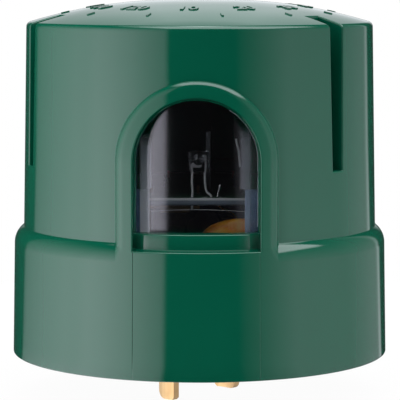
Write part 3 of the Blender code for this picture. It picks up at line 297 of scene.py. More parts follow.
plateLook = dict(tones=("#F4F4F2", "#E6E7E7"), patchMm=1.5, smearMm=0.8, rough=(0.42, 0.58),
                  grainMm=0.3, relief=0.15, reliefMm=0.02, metal=0.1)
wireLook = dict(patchMm=6.0, smearMm=3.0, rough=(0.30, 0.42), grainMm=0.5, relief=0.10,
                reliefMm=0.03, ior=1.52)
surfaces = {
    # moulded polycarbonate, polished tool: a sharp reflection with faint orange peel
    "mouldedPolycarbonate": dict(
        tones=("#034735", "#034A37"), patchMm=45.0, smearMm=22.0, rough=(0.055, 0.085),
        grainMm=2.6, relief=0.012, reliefMm=0.05, ior=1.585),
    # black glass-filled nylon, moulded: dull, with a fine spark-eroded grain
    "glassFilledNylon": dict(
        tones=("#17181A", "#1F2022"), patchMm=20.0, smearMm=9.0, rough=(0.42, 0.55),
        grainMm=0.5, relief=0.25, reliefMm=0.05),
    # closed-cell neoprene foam, die cut: dead dull, with small cells
    "neopreneFoam": dict(
        tones=("#2A2B2C", "#363738"), patchMm=6.0, smearMm=3.0, rough=(0.85, 0.95),
        grainMm=0.55, relief=0.8, reliefMm=0.12, ior=1.45),
    # rolled and stamped brass strip: warm metal with a drawn grain along its length
    "stampedBrass": dict(
        tones=("#CDAC80", "#C49F70"), patchMm=7.0, smearMm=2.5, rough=(0.34, 0.48),
        grainMm=0.35, relief=0.16, reliefMm=0.02, metal=1.0, stretch=(1.0, 1.0, 0.12)),
    # zinc-plated steel screws: pale bluish metal with a light blush
    "zincPlatedSteel": dict(
        tones=("#C9CCD0", "#B5B8BA"), patchMm=3.0, smearMm=1.2, rough=(0.24, 0.40),
        grainMm=0.25, relief=0.15, reliefMm=0.02, metal=1.0),
    # tinned copper leads: bright soft metal
    "tinnedCopper": dict(
        tones=("#D3D3D0", "#BFC0BE"), patchMm=2.0, smearMm=1.0, rough=(0.18, 0.32),
        grainMm=0.3, relief=0.12, reliefMm=0.02, metal=1.0),
    # silver-plated lead frame, satin and pale, and a lit copy of it, white and not metal, painted
    # brighter for the bars and marks in the resin, which get little light
    "silverPlatedFrame": plateLook,
    "litCopyPlatedFrame": dict(plateLook, tones=("#FFFFFF", "#F6F8FA"), metal=0.0),
    # grey moulded nylon for the strip behind the sensor, with painted shade darker towards its foot,
    # where little light reaches it
    "greyNylonStrip": dict(
        tones=("#727A7A", "#5E6666"), patchMm=2.5, smearMm=1.5, rough=(0.45, 0.60),
        grainMm=0.4, relief=0.2, reliefMm=0.03, shade=("Z", 37.0, 34.5, "#484848")),
    # dipped epoxy: ochre, uneven gloss with a slight sag in the coat, and painted shade darker towards
    # its left end, where little light reaches it
    "dippedEpoxy": dict(
        tones=("#FFC84C", "#FF8A10"), patchMm=1.8, smearMm=3.0, rough=(0.22, 0.34),
        grainMm=1.8, relief=0.7, reliefMm=0.3, ior=1.52, shade=("X", 5.0, 1.0, "#7A5442")),
    # moulded cases: the relay's dark blue thermoplastic, the film capacitor's dull red
    "relayThermoplastic": dict(
        tones=("#1A2140", "#202848"), patchMm=8.0, smearMm=5.0, rough=(0.24, 0.34),
        grainMm=0.7, relief=0.10, reliefMm=0.03),
    "filmCapacitorCase": dict(
        tones=("#8A2A22", "#7C241E"), patchMm=6.0, smearMm=4.0, rough=(0.30, 0.42),
        grainMm=0.7, relief=0.12, reliefMm=0.03),
    # shrunk PVC sleeve on the capacitor can
    "shrunkSleeve": dict(
        tones=("#141B2C", "#1A2236"), patchMm=5.0, smearMm=3.0, rough=(0.20, 0.32),
        grainMm=1.0, relief=0.10, reliefMm=0.03),
    # cement coat of the wire-wound resistor, and the tan lacquer of the film resistor
    "cementCoat": dict(
        tones=("#8C9294", "#7E8486"), patchMm=3.0, smearMm=2.0, rough=(0.65, 0.80),
        grainMm=0.35, relief=0.4, reliefMm=0.05),
    "filmResistorCoat": dict(
        tones=("#8C7350", "#826A48"), patchMm=2.5, smearMm=2.0, rough=(0.35, 0.5),
        grainMm=0.5, relief=0.15, reliefMm=0.03),
    # transfer-moulded epoxy of diodes and the transistor: black and dull
    "mouldedEpoxy": dict(
        tones=("#101010", "#191919"), patchMm=2.0, smearMm=1.5, rough=(0.40, 0.55),
        grainMm=0.3, relief=0.2, reliefMm=0.03),
    # extruded PVC insulation: satin, with a faint draw along the wire
    "wireInsulation_line": dict(wireLook, tones=("#121213", "#1B1B1C")),
    "wireInsulation_load": dict(wireLook, tones=("#9C1E19", "#8C1914")),
    "wireInsulation_neutral": dict(wireLook, tones=("#E2E0D8", "#D6D4CB")),
}
board = dict(low=28.4, high=30.0, trackMm=4.7619048, weaveMm=1.4285714, weave=0.35,
             relief=0.3, reliefMm=0.05, smearMm=3.3333333, rough=(0.3, 0.5),
             tracks=((0.05, "#123A26"), (0.09, "#1C5234")),
             edgeTones=((0.0, "#20262C"), (0.14, "#4A5660"), (0.3, "#6F7D8C"), (0.62, "#7F8C96"),
                     (0.78, "#E8ECEB"), (1.0, "#F4F6F4")))


def boardMaterial(name, look):
    # FR4 laminate with green solder resist, routed edges: copper tracks show as slightly paler raised
    # lines, and along the edge the tone runs from dark at its bottom to pale at its top, under the weave
    material, tree, place = newMaterial(name)
    cells = fromNode(tree, "TexVoronoi", {"feature": "DISTANCE_TO_EDGE", "Vector": place,
                                          "Scale": 1.0 / (look["trackMm"] * mm)})
    weave = fromNode(tree, "TexWave", {"Vector": place, "Scale": 1.0 / (look["weaveMm"] * mm),
                                       "Distortion": 0.6, "Detail": 1.0})
    level = spread(tree, axisOf(tree, place, "Z"), look["low"] * mm, look["high"] * mm)
    edge = fromNode(tree, "MixRGB", {"blend_type": "MULTIPLY", "Fac": look["weave"],
                                     "Color1": ramp(tree, level, look["edgeTones"]), "Color2": weave})
    up = axisOf(tree, addNode(tree, "NewGeometry").outputs["Normal"], "Z")
    side = maths(tree, "LESS_THAN", maths(tree, "ABSOLUTE", up), 0.5)
    tone = fromNode(tree, "MixRGB", {"Fac": side, "Color1": ramp(tree, cells, look["tracks"]),
                                     "Color2": edge})
    low, high = look["rough"]
    gloss = spread(tree, noise(tree, place, look["smearMm"], 2.0), 0.0, 1.0,
                   **{"To Min": low, "To Max": high})
    relief = fromNode(tree, "Bump", {"Height": cells, "Strength": look["relief"],
                                     "Distance": look["reliefMm"] * mm})
    shader = fromNode(tree, "BsdfPrincipled", {"Base Color": tone, "Roughness": gloss,
                                               "Normal": relief, "IOR": 1.5})
    addNode(tree, "OutputMaterial", {"Surface": shader})
    return material


def clearMaterial(name, look):
    # A clear moulding: refracts what lies behind it and carries a sharp reflection, with
    # faint flow marks. Shadow rays pass straight through, so that light reaches what it covers.
    material, tree, place = newMaterial(name)
    flow = noise(tree, place, look["flowMm"], 2.0)
    relief = fromNode(tree, "Bump", {"Height": flow, "Strength": look["relief"], "Distance": 0.05 * mm})
    shader = fromNode(tree, "BsdfPrincipled", {
        "Base Color": ramp(tree, flow, list(zip((0.3, 0.7), look["tones"]))), "Normal": relief,
        "IOR": look["ior"], "Transmission Weight": look.get("clear", 1.0),
        "Roughness": look["rough"], "Coat Weight": look.get("coat", 0.0), "Coat IOR": 1.6,
        "Coat Roughness": look.get("coatRough", 0.03),
        "Specular Tint": srgb(look.get("sheenTint", "#FFFFFF"))})
    through = fromNode(tree, "BsdfTransparent", {"Color": srgb(look["shadow"])})
    gone = addNode(tree, "LightPath").outputs["Is Shadow Ray"]
    # painted reflection: the haze fades out between two places (millimetres) along an axis, as the
    # reflection it stands for fades
    for axis, full, none in look.get("reflectionFades", ()):
        reflectionFade = spread(tree, axisOf(tree, place, axis), full * mm, none * mm,
                      interpolation_type="SMOOTHSTEP")
        gone = maths(tree, "MAXIMUM", gone, reflectionFade)
    choose = fromNode(tree, "MixShader", {0: gone, 1: shader, 2: through})
    addNode(tree, "OutputMaterial", {"Surface": choose})
    return material


mattLook = dict(flowMm=3.0, relief=0.05, ior=1.49, rough=0.25, shadow="#C8CEDC")
# painted light: a near-white, nearly matt acrylic for pieces that stand in for light
paintedLightFrostLook = dict(mattLook, tones=("#EEF1FC", "#F6F8FF"), rough=0.3, clear=0.04, shadow="#E4E6EA")
clears = {
    # injection-moulded acrylic with a hard coat: clear, faintly smoky, its sheen a little mauve
    "mouldedAcrylic": dict(
        tones=("#DADBE2", "#E2E3E8"), flowMm=9.0, relief=0.006, ior=1.49, rough=0.02,
        coat=1.0, coatRough=0.10, sheenTint="#F4E8FF", shadow="#FFFFFF"),
    # the same acrylic where the tool leaves ribs and webs matt: a bluish haze, also used for the left
    # painted highlight line along the plate's edge
    "mattAcrylicRibAndHighlight": dict(mattLook, tones=("#566C92", "#62789C"), clear=0.55),
    "mattAcrylicWeb": dict(mattLook, tones=("#97A5C2", "#A4B1CC"), clear=0.5),
    # painted reflection: a hazy strip on the right, fading out at its sides and towards its top
    "paintedReflectionRight": dict(
        mattLook, tones=("#BFC1CE", "#CBCDD6"), rough=0.2, clear=0.78, shadow="#F6F7F9",
        reflectionFades=(("X", 10.3, 11.2), ("X", 9.4, 8.5), ("Z", 41.5, 45.8))),
    # frosted acrylic painted in as light: the left web, a whiter copy of the right web painted bright
    # where the left light strikes it; the left strip, a painted reflection; and thin lines, painted
    # highlights
    "paintedBrightAcrylic": paintedLightFrostLook,
    # painted reflection: the like on the left, fading out at its left side and towards its top
    "paintedReflectionLeft": dict(paintedLightFrostLook, shadow="#FFFFFF",
                            reflectionFades=(("X", -11.2, -11.9), ("Z", 40.5, 44.0))),
    # painted highlight: the hazy grey of the thin lines
    "paintedHighlightAcrylic": dict(paintedLightFrostLook, tones=("#A4A8AC", "#B0B3B7"), clear=0.45),
    # clear casting resin round the light sensor's lead frame
    "castSensorResin": dict(
        tones=("#F0F1F4", "#F4F5F7"), flowMm=1.5, relief=0.05, ior=1.54, rough=0.04,
        shadow="#FFFFFF"),
}
made = {name: surfaceMaterial(name, look) for name, look in surfaces.items()}
made.update((name, clearMaterial(name, look)) for name, look in clears.items())
made["solderResistLaminate"] = boardMaterial("solderResistLaminate", board)
print("materials made")


# Floor and light: levels by azimuth in degrees, tops in degrees of height.

studio = dict(
    floorRadius=180.0, floorDrop=0.1, floorTone="#C6C6C6", cameraShare=0.965, dark=0.012,
    bandLean=0.39, leanStart=0.07, bandSoft=52.0,
    band=[(-180, 0.06), (-155, 0.02), (-134.5, 0.02), (-131.5, 0.43), (-126, 0.62), (-120, 0.82),
          (-113, 1.10), (-106, 1.42), (-95, 1.9), (-87, 2.3), (-78, 2.5), (-69, 2.9), (-58, 2.8),
          (-44, 2.3), (-34, 1.75), (-21.5, 1.15), (-18.5, 0.0), (24, 0.0), (27, 0.10), (36, 0.33),
          (60, 1.02), (80, 0.90), (90, 0.81), (100, 0.68), (112, 0.66), (126, 0.58), (136, 0.46),
          (139.5, 0.48), (141.5, 0.86), (144.5, 0.86), (147, 0.02), (180, 0.02)],
    bandTop=[(-180, 12), (-150, 20), (-120, 28), (-20, 28), (30, 31), (180, 31)],
    bandFade=0.80, fadeDeg=(0.5, -6.5), overheadBox=(-0.43, 1.07, -0.95, 0.30), overhead=3.9,
    boxSoft=(0.12, 0.05), wallSide=(0.06, 0.30),
    wall=[(0, 0.0), (1, 0.2), (2.5, 1.05), (5, 1.05), (9, 0.90), (15, 0.88), (20, 1.0),
          (31, 1.02), (33.5, 0.72), (35.5, 0.66), (37, 0.18), (48, 0.18), (51, 3.6), (72, 3.6),
          (76, 0.0), (90, 0.0)],
    share=0.55, leftFill=3.1, rightFill=1.5, topFill=2.5, tint="#F7FAFF")


def makeFloor(s):
    blades = ("line_blade", "load_blade", "neutral_blade")
    low = min(corner.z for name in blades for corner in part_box(name))
    rings = [(r, low / mm - s.floorDrop) for r in np.linspace(s.floorRadius, 0.0, 12)]
    mesh = weld("floor", [turn(rings, 96)], mergeMm=0.01)
    if mesh.polygons[0].normal.z < 0:
        mesh.flip_normals()
    floor = bpy.data.objects.new("floor", mesh)
    scene.collection.objects.link(floor)
    # white paper sweep: nearly plain white to the camera, but for the part's own shadow, and
    # not there for reflections or from below
    material, tree = newMaterial("whitePaperSweep")[:2]
    rays = addNode(tree, "LightPath").outputs
    paper = fromNode(tree, "BsdfDiffuse", {"Color": srgb(s.floorTone)})
    glow = fromNode(tree, "Emission", {"Color": srgb("#FFFFFF"), "Strength": 1.0})
    share = maths(tree, "MULTIPLY", rays["Is Camera Ray"], s.cameraShare)
    seen = fromNode(tree, "MixShader", {0: share, 1: paper, 2: glow})
    below = addNode(tree, "NewGeometry").outputs["Backfacing"]
    choose = fromNode(tree, "MixShader", {0: maths(tree, "MAXIMUM", rays["Is Glossy Ray"], below),
                                          1: seen, 2: fromNode(tree, "BsdfTransparent")})
    addNode(tree, "OutputMaterial", {"Surface": choose})
    mesh.materials.append(material)


def makeWorld(s):
    # Soft boxes painted on the sky. A band of side light changes with azimuth and ends at a
    # height that changes too; one long box hangs overhead; a pale wall stands behind. The
    # camera sees plain white.
    world = bpy.data.worlds.new("studio")
    scene.world = world
    world.use_nodes = True
    tree = world.node_tree
    tree.nodes.clear()

    def calc(operation, *values):
        return maths(tree, operation, *values)

    def product(*values):
        total = values[0]
        for value in values[1:]:
            total = calc("MULTIPLY", total, value)
        return total

    def stepped(value, low, high, stops):
        # a value for each angle in degrees
        scale = max(level for degrees, level in stops)
        places = [((degrees - low) / (high - low), level / scale) for degrees, level in stops]
        share = spread(tree, value, math.radians(low), math.radians(high))
        return product(ramp(tree, share, places), scale)

    def lobe(value, strength):
        # broad light from one side, strongest along its own axis
        return product(calc("POWER", calc("MAXIMUM", value, 0.0), 3.0), strength)

    def background(tone, strength):
        return fromNode(tree, "Background", {"Color": srgb(tone), "Strength": strength})

    sky = addNode(tree, "TexCoord").outputs["Generated"]
    way = addNode(tree, "SeparateXYZ", {"Vector": sky}).outputs
    x, y, z = way["X"], way["Y"], way["Z"]
    height = calc("ARCSINE", z)
    lean = calc("MULTIPLY_ADD", calc("MINIMUM", calc("ADD", height, s.leanStart), 0.0), s.bandLean, 1.0)
    azimuth = product(calc("ARCTAN2", x, product(y, -1.0)), lean)
    under = calc("SUBTRACT", product(stepped(azimuth, -180, 180, s.bandTop), math.radians(1.0)), height)
    soft = math.radians(s.bandSoft) / 2
    fade = spread(tree, height, *(math.radians(v) for v in s.fadeDeg))
    fade = calc("MULTIPLY_ADD", fade, 1.0 - s.bandFade, s.bandFade)
    band = product(stepped(azimuth, -180, 180, s.band), fade, spread(tree, under, -soft, soft))
    above = calc("MAXIMUM", z, 0.05)
    box = spread(tree, z, 0.1, 0.2)
    for value, (low, high), blur in zip((x, y), (s.overheadBox[:2], s.overheadBox[2:]), s.boxSoft):
        value = calc("DIVIDE", value, above)
        box = product(box, spread(tree, value, low - blur, low + blur),
                      spread(tree, value, high + blur, high - blur))
    aside = calc("DIVIDE", calc("ABSOLUTE", x), calc("MAXIMUM", y, 0.02))
    wall = product(spread(tree, aside, *s.wallSide[::-1]), spread(tree, y, 0.02, 0.1),
                   stepped(height, 0, 90, s.wall))
    level = calc("ADD", calc("MULTIPLY_ADD", box, s.overhead, band), wall)
    fill = lobe(z, s.topFill)
    for side, strength in ((product(x, -1.0), s.leftFill), (x, s.rightFill)):
        fill = calc("ADD", fill, lobe(side, strength))
    rays = addNode(tree, "LightPath").outputs
    reflect = calc("MAXIMUM", rays["Is Glossy Ray"], rays["Is Transmission Ray"])
    first = fromNode(tree, "MixShader", {
        0: reflect, 1: background("#FFFFFF", calc("MULTIPLY_ADD", level, s.share, fill)),
        2: background(s.tint, calc("ADD", level, s.dark))})
    last = fromNode(tree, "MixShader", {0: rays["Is Camera Ray"], 1: first,
                                        2: background("#FFFFFF", 1.0)})
    addNode(tree, "OutputWorld", {"Surface": last})


makeFloor(SimpleNamespace(**studio))
makeWorld(SimpleNamespace(**studio))
print("floor and light made")


# The housing is one moulding.

housing = dict(
    skirtRadius=41.505, rimZ=-6.75, skirtHeight=24.42, shoulderRound=4.46, shoulderWidth=2.09,
    bodyHeight=44.63, domeRise=4.94, domeFlat=5.7, topRound=1.1, draftDeg=1.1, wall=2.6,
    lipRound=0.35, ledge=3.3, windowHalf=13.17, windowCentre=38.3, windowFloor=20.1,
    archSplitDeg=42.0, rimWidth=3.65, rimBand=2.45, rimLean=1.15, rimRound=1.55, rimRoundTop=-0.3,
    footFillet=((0.02, 0.07), (0.05, 0.03), (0.10, 0.008), (0.22, 0.0), (0.45, 0.0)),
    edgeRound=0.28, sillFace=38.9, sillTop=23.55, sillHalf=11.75, grooveDepth=1.0, lensFront=35.3,
    lipStep=0.19, lipEdge=0.45, pocketFoot=13.2, pocketBack=32.7, frameBack=31.19, frameTop=22.0,
    frameWidth=4.6, frameFoot=11.8, partingGroove=(0.12, 0.05), slots=(50.0, 170.0, -70.0),
    slotFoot=35.5, slotFootWidth=3.2, slotTopWidth=4.35, slotBack=31.59, slotEdge=0.35, jacket=2.0,
    jacketRadius=38.0, blockDeg=31.0, blockFoot=16.6, blockTop=60.0, slotBlockDeg=6.5,
    columnDeg=1.6, fadeSteps=6)
h = SimpleNamespace(**housing)
slope = math.tan(math.radians(h.draftDeg))
shoulderZ = h.rimZ + h.skirtHeight
skirtTop = h.skirtRadius - h.skirtHeight * slope
shoulderArc = math.acos(1 - h.shoulderWidth / h.shoulderRound)
bodyFoot = skirtTop - h.shoulderWidth
bodyFootZ = shoulderZ + h.shoulderRound * math.sin(shoulderArc)
bodyTopZ = bodyFootZ + h.bodyHeight
bodyTop = bodyFoot - h.bodyHeight * slope


def skirtRadiusAt(z):
    return h.skirtRadius - (z - h.rimZ) * slope


def bodyRadiusAt(z):
    return bodyFoot - (z - bodyFootZ) * slope


def domeAt(radius):
    # flat in the middle, then falling by a square law
    share = np.clip((radius - h.domeFlat) / (bodyTop - h.domeFlat), 0, None)
    return bodyTopZ + h.domeRise * (1 - share ** 2)


def slotWidthAt(z):
    share = (z - h.slotFoot) / (bodyTopZ + h.domeRise - h.slotFoot)
    return h.slotFootWidth + (h.slotTopWidth - h.slotFootWidth) * share


def easeSteps(edge, start, stop, count):
    # distances from a line, close together where a rounded edge meets it
    return list(edge * (1 - np.sin(arcSteps(start, stop, count))))


def rowAt(rows, column, value):
    return next(i for i, row in enumerate(rows) if abs(row[column] - value) < 1e-9)


def clearOf(values, fixed, gap):
    return [v for v in values if all(abs(v - f) > gap for f in fixed)]


def outsideProfile():
    # (radius, z) rows from the skirt's lip up to the dome's centre
    lip, lipZ = h.lipRound, h.rimZ + h.lipRound
    rows = [(skirtRadiusAt(lipZ) - lip + lip * np.cos(a), lipZ + lip * np.sin(a))
            for a in arcSteps(-90, 0, 5)]
    rows += [(skirtRadiusAt(z), z) for z in np.linspace(lipZ, h.blockFoot, 9)[1:]]
    footRow = len(rows) - 1
    rows += [(skirtRadiusAt(z), z) for z in (h.blockFoot + 0.5, shoulderZ)]
    floorRows = [h.windowFloor - v for v in easeSteps(h.edgeRound, 0, 90, 6)]
    bend = [shoulderZ + h.shoulderRound * math.sin(a) for a in np.linspace(0, shoulderArc, 25)[1:]]
    for z in sorted(clearOf(bend, floorRows, 0.06) + floorRows):
        a = math.asin((z - shoulderZ) / h.shoulderRound)
        rows.append((skirtTop - h.shoulderRound * (1 - math.cos(a)), z))
    fixed = [h.slotFoot - v for v in easeSteps(h.slotEdge, 0, 90, 5)]
    fixed += [h.slotFoot - 0.6, h.windowCentre, h.blockTop]
    free = clearOf(np.linspace(bodyFootZ, bodyTopZ, 34)[1:-1], fixed, 0.45)
    rows += [(bodyRadiusAt(z), z) for z in sorted(fixed + free)]
    # the rounded edge between body and dome
    bendR = h.topRound
    centreR = bodyTop - bendR
    fall = 2 * h.domeRise * (centreR - h.domeFlat) / (bodyTop - h.domeFlat) ** 2
    meet = math.pi / 2 - math.atan(fall)
    meetR = centreR + bendR * math.cos(meet)
    centreZ = float(domeAt(meetR)) - bendR * math.sin(meet)
    rows.append((bodyRadiusAt(centreZ - 0.25), centreZ - 0.25))
    rows += [(centreR + bendR * math.cos(a), centreZ + bendR * math.sin(a))
             for a in np.linspace(0, meet, 9)]
    radii = [meetR - 0.25] + list(np.linspace(meetR - 1.0, h.slotBack + 0.4, 8))
    radii += [h.slotBack - v for v in easeSteps(h.slotEdge, 90, 0, 5)] + [h.slotBack - 0.7]
    radii += list(np.linspace(h.slotBack - 1.6, 0.0, 22))
    rows += [(r, float(domeAt(r))) for r in radii]
    marks = [rowAt(rows, 1, z) for z in (h.windowFloor, h.windowCentre, h.slotFoot, h.blockTop)]
    return np.array(rows), footRow, *marks, rowAt(rows, 0, h.slotBack)


outside, footRow, floorRow, centreRow, slotRow, topRow, backRow = outsideProfile()
outR, outZ = outside[:, :1], outside[:, 1:]


def outsideRadiusAt(z):
    return np.interp(z, outside[:topRow + 1, 1], outside[:topRow + 1, 0])


def edgeDrop(distance, radius):
    # how far a rounded edge has fallen at this distance inside its line
    reach = np.clip(radius - distance, 0, radius)
    return radius - np.sqrt(np.clip(radius ** 2 - reach ** 2, 0, None))


# columns, as azimuths in radians: fine across the window block so that they meet the
# window's own rows, warped beside the slots, even elsewhere
rimRows = easeSteps(h.edgeRound, 90, 0, 6) + [h.edgeRound + 0.15, 0.8]
rimRows += [h.rimWidth - v for v in easeSteps(h.rimBand, 0, 90, 12)]
rimRows = np.array(rimRows + [h.rimWidth + v for v, left in h.footFillet])
apronHalf = np.append(np.linspace(0, h.windowHalf - 0.5, 14)[1:],
                      h.windowHalf - np.array([0.24, 0.18, 0.10, 0.0]))
blockTurn = math.radians(h.blockDeg)
rimTurn = np.arcsin((h.windowHalf + rimRows) / outside[footRow, 0])
fadeTurn = rimTurn[-1] + (blockTurn - rimTurn[-1]) * np.linspace(0, 1, h.fadeSteps + 1)[1:]
halfBlock = np.concatenate([np.arcsin(apronHalf[:-1] / outside[footRow, 0]), rimTurn, fadeTurn])
blockColumns = np.concatenate([-halfBlock[::-1], [0.0], halfBlock])
blockMiddle, blockEnd = len(halfBlock), 2 * len(halfBlock)
acrossSlot = np.linspace(-1, 1, 7)
besideSlot = np.array(easeSteps(h.slotEdge, 90, 0, 5) + [h.slotEdge + 0.2])


def housingColumns():
    # azimuth of each column at each row; slot columns follow the slot's tapering width
    width = slotWidthAt(np.clip(outside[:, 1], h.slotFoot, None))
    safeRadius = np.clip(outside[:, 0], h.slotBack - 1.5, None)
    half = np.arcsin(width / 2 / safeRadius)
    edge = math.radians(h.slotBlockDeg)
    azimuths = sorted(math.radians(a % 360) for a in h.slots)
    starts = [blockTurn] + [a + edge for a in azimuths]
    stops = [a - edge for a in azimuths] + [2 * math.pi - blockTurn]
    beside = [np.arcsin((width / 2 + t) / safeRadius) for t in besideSlot[::-1]]
    wide = [beside[0] + (edge - beside[0]) * share for share in (1.0, 0.55, 0.2)]
    columns, spans = [half * 0 + value for value in blockColumns], []
    for index, (start, stop) in enumerate(zip(starts, stops)):
        count = max(2, int(round(math.degrees(stop - start) / h.columnDeg)))
        columns += [half * 0 + value for value in np.linspace(start, stop, count + 1)[1:-1]]
        if index < len(azimuths):
            centre = azimuths[index]
            columns += [centre - away for away in wide + beside]
            left = len(columns) - 1
            columns += [centre + half * share for share in acrossSlot[1:-1]]
            spans.append((centre, left, len(columns)))
            columns += [centre + away for away in beside[::-1] + wide[::-1]]
    return np.stack(columns, 1), spans, width[:, None]


turns, slotSpans, slotWidth = housingColumns()
columnCount = turns.shape[1]


def outsideGrid():
    # the outside over rows and columns, sunk along its normals by a rounded edge round each slot
    radius = np.repeat(outR, columnCount, 1)
    z = np.repeat(outZ, columnCount, 1)
    step = np.gradient(outside, axis=0)
    normal = np.stack([step[:, 1], -step[:, 0]], 1) / np.linalg.norm(step, axis=1)[:, None]
    for centre, left, right in slotSpans:
        lateral = np.abs(outR * np.sin(turns - centre)) - slotWidth / 2
        lateral = np.where(np.cos(turns - centre) > 0.5, lateral, 99.0)
        under = np.clip(h.slotFoot - outZ, 0, None)
        past = np.clip(h.slotBack - outR, 0, None)
        past = np.where(np.arange(len(outside))[:, None] > backRow - 8, past, 0)
        distance = np.sqrt(np.clip(lateral, 0, None) ** 2 + under ** 2 + past ** 2)
        drop = edgeDrop(distance, h.slotEdge)
        radius = radius - drop * normal[:, :1]
        z = z - drop * normal[:, 1:]
    # hairline groove where the tool's window insert parts from the skirt
    for side, depth in zip((-1, 1), h.partingGroove):
        radius[5:footRow + 1, blockMiddle + side * len(apronHalf)] -= depth
    return radius, z


gridRadius, gridZ = outsideGrid()
gridPoints = roundTurn(gridRadius, gridZ, turns)


def maskedSheet(points, holes):
    # a closed sheet without the quads in each hole: rows and columns from and to
    keep = np.ones((len(points) - 1, columnCount), bool)
    for firstRow, lastRow, left, right in holes:
        keep[firstRow:lastRow, left:right] = False
    where, quads = sheet(points, closed=True)
    return where, quads[keep.reshape(-1)]


def slotPatches():
    # each slot's back stands upright at a fixed radius, from its foot to the dome; ruled
    # walls and a foot join it to the outside
    patches = []
    for centre, left, right in slotSpans:
        rows = np.arange(slotRow, backRow + 1)
        backZ = h.slotFoot + (gridZ[backRow, left] - h.slotFoot) * np.linspace(0, 1, len(rows))
        inner = np.arcsin(slotWidthAt(backZ) / 2 / h.slotBack)
        backTurn = centre + inner[:, None] * np.linspace(-1, 1, right - left + 1)[None, :]
        back = roundTurn(h.slotBack, backZ[:, None], backTurn)
        back[-1] = gridPoints[backRow, left:right + 1]
        patches += [sheet(back), between(gridPoints[rows, left], back[:, 0], 9),
                    between(gridPoints[rows, right], back[:, -1], 9),
                    between(gridPoints[slotRow, left:right + 1], back[0], 9)]
    return patches


def windowPath():
    # up the left leg, over the arch and down the right leg: each step's side and upward share
    # of the distance from the centre line, and its height without it
    legZ = outside[footRow:centreRow + 1, 1]
    sideCount, acrossCount = topRow - centreRow + 1, blockEnd + 1
    split = math.radians(h.archSplitDeg)
    angles = np.concatenate([np.linspace(0, split, sideCount)[1:],
                             np.linspace(split, math.pi - split, acrossCount)[1:],
                             np.linspace(math.pi - split, math.pi, sideCount)[1:]])
    legUp = np.zeros(len(legZ))
    baseX = np.concatenate([legUp - 1.0, -np.cos(angles), legUp[1:] + 1.0])
    up = np.concatenate([legUp, np.sin(angles), legUp[1:]])
    baseZ = np.concatenate([legZ, np.full(len(angles), h.windowCentre), legZ[-2::-1]])
    return baseX, up, baseZ


pathX, pathUp, pathZ = windowPath()
floorStep = floorRow - footRow
overFloor = slice(floorStep, len(pathX) - floorStep)


def pathAt(offset):
    # x and z of the path at this distance outside the window's edge
    reach = h.windowHalf + offset
    return pathX * reach, pathZ + pathUp * reach


def frontAt(x, z):
    return -np.sqrt(skirtRadiusAt(z) ** 2 - x ** 2)


def toOpening(x, z):
    # distance from a point of the front to the window's opening
    above = np.clip(h.windowFloor - z, 0, None)
    low = np.hypot(above, np.clip(np.abs(x) - h.windowHalf, 0, None))
    high = np.clip(np.hypot(x, z - h.windowCentre) - h.windowHalf, 0, None)
    return np.where(z > h.windowCentre, high, low)


def rimPatch():
    # rows of d outside the window's edge. The face follows the skirt's cone and leans back
    # over the arch; its outer edge is rounded, then a wall falls to the body with a small
    # fillet at its foot
    grid = []
    bendR = h.rimRound + h.rimRoundTop * pathUp
    for d in rimRows:
        x, z = pathAt(d)
        rise = np.clip((z - h.windowCentre) / (h.windowHalf + h.rimWidth), 0, 1)
        front = frontAt(x, z) + h.rimLean * rise ** 2 * (3 - 2 * rise)
        body = -np.sqrt(outsideRadiusAt(z) ** 2 - x ** 2)
        height = np.clip(body - front, 0, None)
        reach = np.sqrt(np.clip(bendR ** 2 - np.clip(bendR - height, 0, None) ** 2, 0, None))
        past = np.clip(d - h.rimWidth + reach, 0, reach)
        depth = bendR - np.sqrt(np.clip(bendR ** 2 - past ** 2, 0, None))
        if d > h.rimWidth + 1e-9:
            left = min(h.footFillet, key=lambda pair: abs(pair[0] - (d - h.rimWidth)))[1]
            depth = np.maximum(depth, height - left)
        depth = depth + edgeDrop(toOpening(x, z), h.edgeRound)
        grid.append(np.stack([x, front + depth, z], -1))
    grid = np.array(grid)
    clear = toOpening(*pathAt(0.0)) > 0.2
    for rows, depth in zip((slice(0, floorStep), slice(-floorStep, None)), h.partingGroove):
        flat = grid[0, rows, :2]
        flat *= 1 - (depth * clear[rows] / np.linalg.norm(flat, axis=1))[:, None]
    return grid


rim = rimPatch()


def fadePatch():
    # from the rim's foot out to the block's edge, straight in azimuth and height
    last = rim[-1]
    rows, across = slice(footRow, topRow + 1), slice(0, blockEnd + 1)

    def around(left, top, right):
        return np.concatenate([left[rows], top[across][1:], right[rows][::-1][1:]])

    fromTurn, fromZ = np.arctan2(last[:, 0], -last[:, 1]), last[:, 2]
    toTurn = around(turns[:, 0], turns[topRow], -turns[:, 0])
    toZ = around(outside[:, 1], np.full(blockEnd + 1, outside[topRow, 1]), outside[:, 1])
    share = np.linspace(0, 1, h.fadeSteps + 1)[:, None]
    z = fromZ + (toZ - fromZ) * share
    points = roundTurn(outsideRadiusAt(z), z, fromTurn + (toTurn - fromTurn) * share)
    points[0] = last
    # the foot row takes the main grid's own points, so that the seam closes
    points[:, -1] = gridPoints[footRow, blockEnd - h.fadeSteps:blockEnd + 1]
    points[:, 0] = gridPoints[footRow, h.fadeSteps::-1]
    points[-1] = around(gridPoints[:, 0], gridPoints[topRow], gridPoints[:, blockEnd])
    return points


def apronPatch():
    # the front between the legs, below the window's floor
    x, z = np.meshgrid(np.concatenate([-apronHalf[::-1], [0.0], apronHalf]),
                       outside[footRow:floorRow + 1, 1])
    grid = np.stack([x, frontAt(x, z) + edgeDrop(toOpening(x, z), h.edgeRound), z], -1)
    grid[:, 0] = rim[0, :floorStep + 1]
    grid[:, -1] = rim[0, ::-1][:floorStep + 1]
    return grid


apron = apronPatch()


